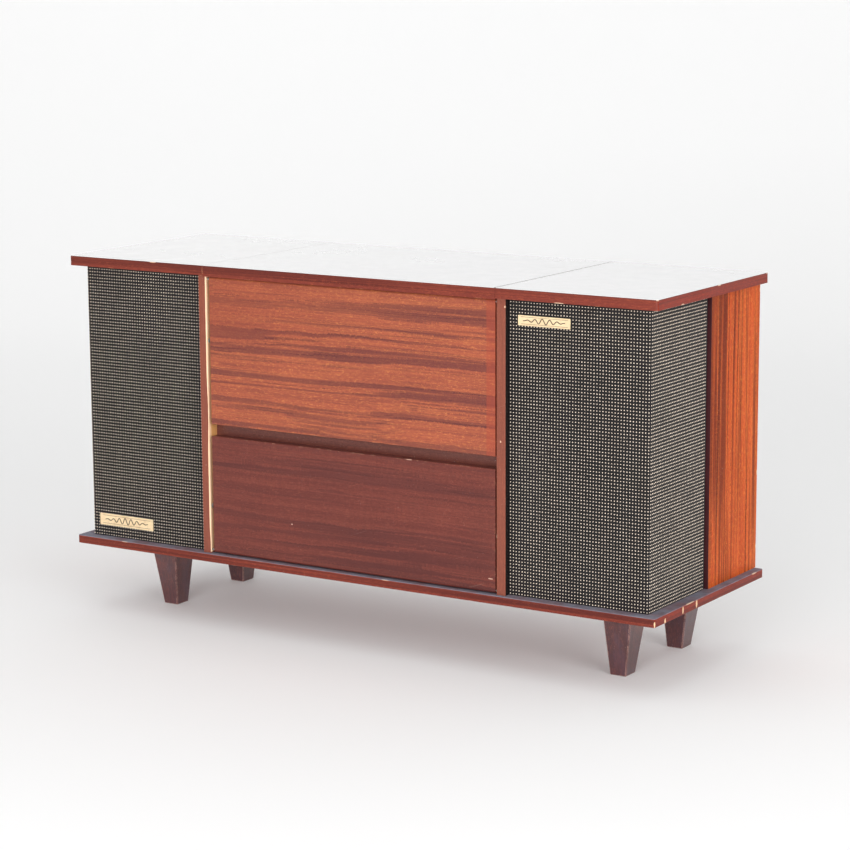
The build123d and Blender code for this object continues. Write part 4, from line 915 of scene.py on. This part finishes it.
class Relief:
    """Lines raised forward by depth from the plane at y."""

    def __init__(self, y, depth):
        self.y = y
        self.depth = depth
        self.verts = []
        self.faces = []

    def line(self, points, width, depth=None):
        """A raised line through (x, z) points."""
        points = np.array(points)
        along_line = np.gradient(points, axis=0)
        along_line /= np.linalg.norm(along_line, axis=1)[:, None]
        offset = np.stack([-along_line[:, 1], along_line[:, 0]], 1) * width / 2
        start = len(self.verts)
        back, front = self.y, self.y - (depth or self.depth)
        for (xa, za), (xb, zb) in zip(points + offset, points - offset):
            self.verts += [(xa, back, za), (xb, back, zb), (xb, front, zb), (xa, front, za)]
        for i in range(len(points) - 1):
            o = start + 4 * i
            self.faces += [(o + 3, o + 2, o + 6, o + 7), (o, o + 3, o + 7, o + 4),
                           (o + 2, o + 1, o + 5, o + 6), (o + 1, o, o + 4, o + 5)]
        end = start + 4 * (len(points) - 1)
        self.faces += [(start, start + 1, start + 2, start + 3), (end + 3, end + 2, end + 1, end)]

    def number(self, text, centre_x, bottom, height):
        advance = 0.86 * height
        left = centre_x - (advance * len(text) - 0.26 * height) / 2
        for digit in text:
            for stroke in DIGITS[digit]:
                ends = [(left + x * height, bottom + z * height) for x, z in stroke]
                for pair in zip(ends[:-1], ends[1:]):
                    self.line(pair, width=0.0005)
            left += advance


def badge_art(name, x0, x1, z0, z1, cycles):
    """A wave that swells in the middle, between two thin rules."""
    low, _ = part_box(name)
    relief = Relief(low.y + 0.0003, depth=0.0005)        # from the floor of the recess
    width, height = x1 - x0, z1 - z0
    x = np.linspace(x0 + width * 0.10, x1 - width * 0.10, 130)
    swell = np.exp(-((x - (x0 + x1) / 2) / (width * 0.27)) ** 2)
    wave = height * 0.27 * swell * np.sin((x - x0) / width * cycles * 2 * math.pi)
    relief.line(np.stack([x, (z0 + z1) / 2 + wave], 1), width=0.0013)
    for z in (z0 + height * 0.16, z1 - height * 0.16):
        rule = np.linspace(x0 + width * 0.05, x1 - width * 0.05, 4)
        relief.line(np.stack([rule, np.full(4, z)], 1), width=0.0004, depth=0.0004)
    fitted_piece(name + "_ornament", relief.verts, relief.faces, badge_ink)


dress(badge_plate(), "badge_left", "badge_right")
badge_ink = plain("badge_ink", srgb(64, 40, 32), rough=0.4, metal=0.1, vary=0.2, scale=90.0,
                  bump=0.1, bump_scale=700.0)
badge_art("badge_left", -0.561, -0.438, 0.161, 0.1825, cycles=9)
badge_art("badge_right", 0.333, 0.431, 0.598, 0.615, cycles=7)

dial_black = plain("dial_black", srgb(26, 28, 32), rough=0.30, scale=12.0, coat=0.3,
                   dirt=srgb(52, 50, 48))
dial_print = plain("dial_print", srgb(232, 214, 168), rough=0.4, vary=0.06, scale=60.0,
                   bump_scale=500.0)
brass = plain("brass_trim", srgb(214, 176, 104), rough=0.28, metal=1.0, vary=0.08, scale=40.0,
              bump=0.08, bump_scale=500.0, dirt=srgb(150, 112, 60))

# z, tick direction, tick count, spacing exponent, ticks per label, first label, label step
SCALES = [
    (0.5150, 1, 100, 1.0, 10, 0, 10),
    (0.5000, -1, 60, 0.86, 6, 50, 10),
    (0.4850, 1, 48, 1.12, 8, 6, 2),
    (0.4700, 1, 20, 1.0, 5, 0, 25),
]
LONG_TICK, SHORT_TICK = 0.0042, 0.0022


def dial_plate():
    """The plate behind the glass."""
    verts = [(x, y, z) for x in (-0.1855, 0.1915) for y in (PLATE_FRONT, PLATE_BACK)
             for z in (0.4635, 0.5310)]
    faces = [(0, 1, 3, 2), (4, 6, 7, 5), (0, 4, 5, 1), (2, 3, 7, 6), (0, 2, 6, 4), (1, 5, 7, 3)]
    fitted_piece("dial_scale_plate", verts, faces, dial_black)


def dial_scales():
    """Four scales with tick marks and plain numbers."""
    relief = Relief(PLATE_FRONT, depth=0.00012)
    for z, side, count, bend, every, first, step in SCALES:
        relief.line([(-0.150, z), (0.156, z)], width=0.0005)
        for i in range(count + 1):
            x = -0.147 + 0.300 * (i / count) ** bend
            major = i % every == 0
            tick = LONG_TICK if major else SHORT_TICK
            relief.line([(x, z), (x, z + side * tick)], width=0.0006 if major else 0.0004)
            if major:
                bottom = z + 0.0052 if side > 0 else z - LONG_TICK - 0.0046
                relief.number(str(first + step * (i // every)), x, bottom, height=0.0038)
    fitted_piece("dial_scale_print", relief.verts, relief.faces, dial_print)


dial_plate()
dial_scales()


# ------------------------------------------------------------------ knobs
# Closed profiles: radius, y from the fascia
GRIP = [(0.01885, -0.0170), (0.01925, -0.0166), (0.01925, -0.0044), (0.01885, -0.0040)]
TRIM = [(0.0132, -0.0212), (0.0150, -0.0212), (0.0150, -0.0206), (0.0132, -0.0206)]
FLUTED_BEYOND = 0.0191       # only points outside this radius are fluted


def knob_ring(name, centre_x, profile, material, body, segments, flute=0.0):
    """A ring round a Y axis; every second segment is raised by flute."""
    verts, faces = [], []
    size = len(profile)
    for i in range(segments):
        angle = 2 * math.pi * i / segments
        for radius, y in profile:
            r = radius + (flute if i % 2 and radius > FLUTED_BEYOND else 0.0)
            verts.append((centre_x + r * math.cos(angle), FASCIA_FRONT + y,
                          KNOB_Z + r * math.sin(angle)))
    for i in range(segments):
        here, after = i * size, (i + 1) % segments * size
        for j in range(size):
            k = (j + 1) % size
            faces.append((here + j, here + k, after + k, after + j))
    fitted_piece(name, verts, faces, material, body)


for knob, knob_x in KNOBS_X.items():
    knob_ring(knob + "_knob_grip", knob_x, GRIP, ivory, knob, segments=96, flute=0.00045)
    knob_ring(knob + "_knob_trim", knob_x, TRIM, brass, knob, segments=72)


# ------------------------------------------------------------------ stage, light and camera
def stage():
    """A floor that sweeps up into a backdrop, which glows a little."""
    net = Net("stage")
    pos = net.position()
    _, y, _ = net.split(pos)
    material = net.surface(
        colour=net.mix(net.noise(pos, scale=0.8, detail=4.0, rough=0.5),
                       (0.885, 0.885, 0.885), (0.90, 0.90, 0.90)),
        rough=0.75, specular=0.2, glow_colour=(1.0, 1.0, 1.0),
        glow=net.remap(y, lo=0.4, hi=3.6, to=(0.07, 0.17)))
    half_width, sweep_start, radius = 11.0, 3.2, 2.2
    rows = [(-9.0, 0.0), (sweep_start, 0.0)]
    for angle in np.linspace(0.08, math.pi / 2, 22):
        rows.append((sweep_start + radius * math.sin(angle), radius - radius * math.cos(angle)))
    rows.append((sweep_start + radius, 7.0))
    verts = [(x, y, z) for y, z in rows for x in (-half_width, half_width)]
    faces = [(2 * i, 2 * i + 1, 2 * i + 3, 2 * i + 2) for i in range(len(rows) - 1)]
    floor = mesh_piece("stage_floor", verts, faces, [material], smooth=True)
    floor.rotation_euler = (0, 0, 0.5662)


def area_light(name, place, target, size, size_y, power):
    light = bpy.data.lights.new(name, "AREA")
    light.energy = power
    light.color = (1, 1, 1)
    light.shape = "RECTANGLE"
    light.size = size
    light.size_y = size_y
    lamp = bpy.data.objects.new(name, light)
    lamp.location = place
    lamp.rotation_euler = (Vector(target) - Vector(place)).to_track_quat("-Z", "Y").to_euler()
    scene.collection.objects.link(lamp)


def camera(place, yaw, down, roll, lens):
    """Camera turned left by yaw, tilted down, then rolled (radians; lens in mm)."""
    ahead = Vector((-math.sin(yaw) * math.cos(down), math.cos(yaw) * math.cos(down),
                    -math.sin(down)))
    level = Vector((math.cos(yaw), math.sin(yaw), 0))
    upright = level.cross(ahead)
    right = math.cos(roll) * level + math.sin(roll) * upright
    up = -math.sin(roll) * level + math.cos(roll) * upright
    data = bpy.data.cameras.new("camera")
    data.sensor_width = 36.0
    data.lens = lens
    data.clip_end = 60
    viewer = bpy.data.objects.new("camera", data)
    rows = [(right[i], up[i], -ahead[i], place[i]) for i in range(3)]
    viewer.matrix_world = Matrix((*rows, (0, 0, 0, 1)))
    scene.collection.objects.link(viewer)
    scene.camera = viewer


stage()
scene = bpy.context.scene
scene.world = bpy.data.worlds.new("studio")
scene.world.use_nodes = True
background = scene.world.node_tree.nodes["Background"]
background.inputs["Color"].default_value = (1.0, 1.0, 1.0, 1.0)
background.inputs["Strength"].default_value = 0.55

area_light("front", (1.6, -5.8, 1.5), (0, 0, 0.2), size=3.4, size_y=1.3, power=205.0)
area_light("key", (4.9, -2.4, 1.7), (0.2, 0, 0.1), size=3.0, size_y=2.2, power=120.0)
area_light("top", (0.0, -0.8, 3.8), (0.0, -0.1, 0.3), size=3.4, size_y=3.4, power=22.0)
camera((2.513768, -3.911271, 1.227111), yaw=0.5655185, down=0.1823648, roll=-0.0053576,
       lens=112.292174)
scene.view_settings.view_transform = "Standard"
scene.cycles.use_denoising = True
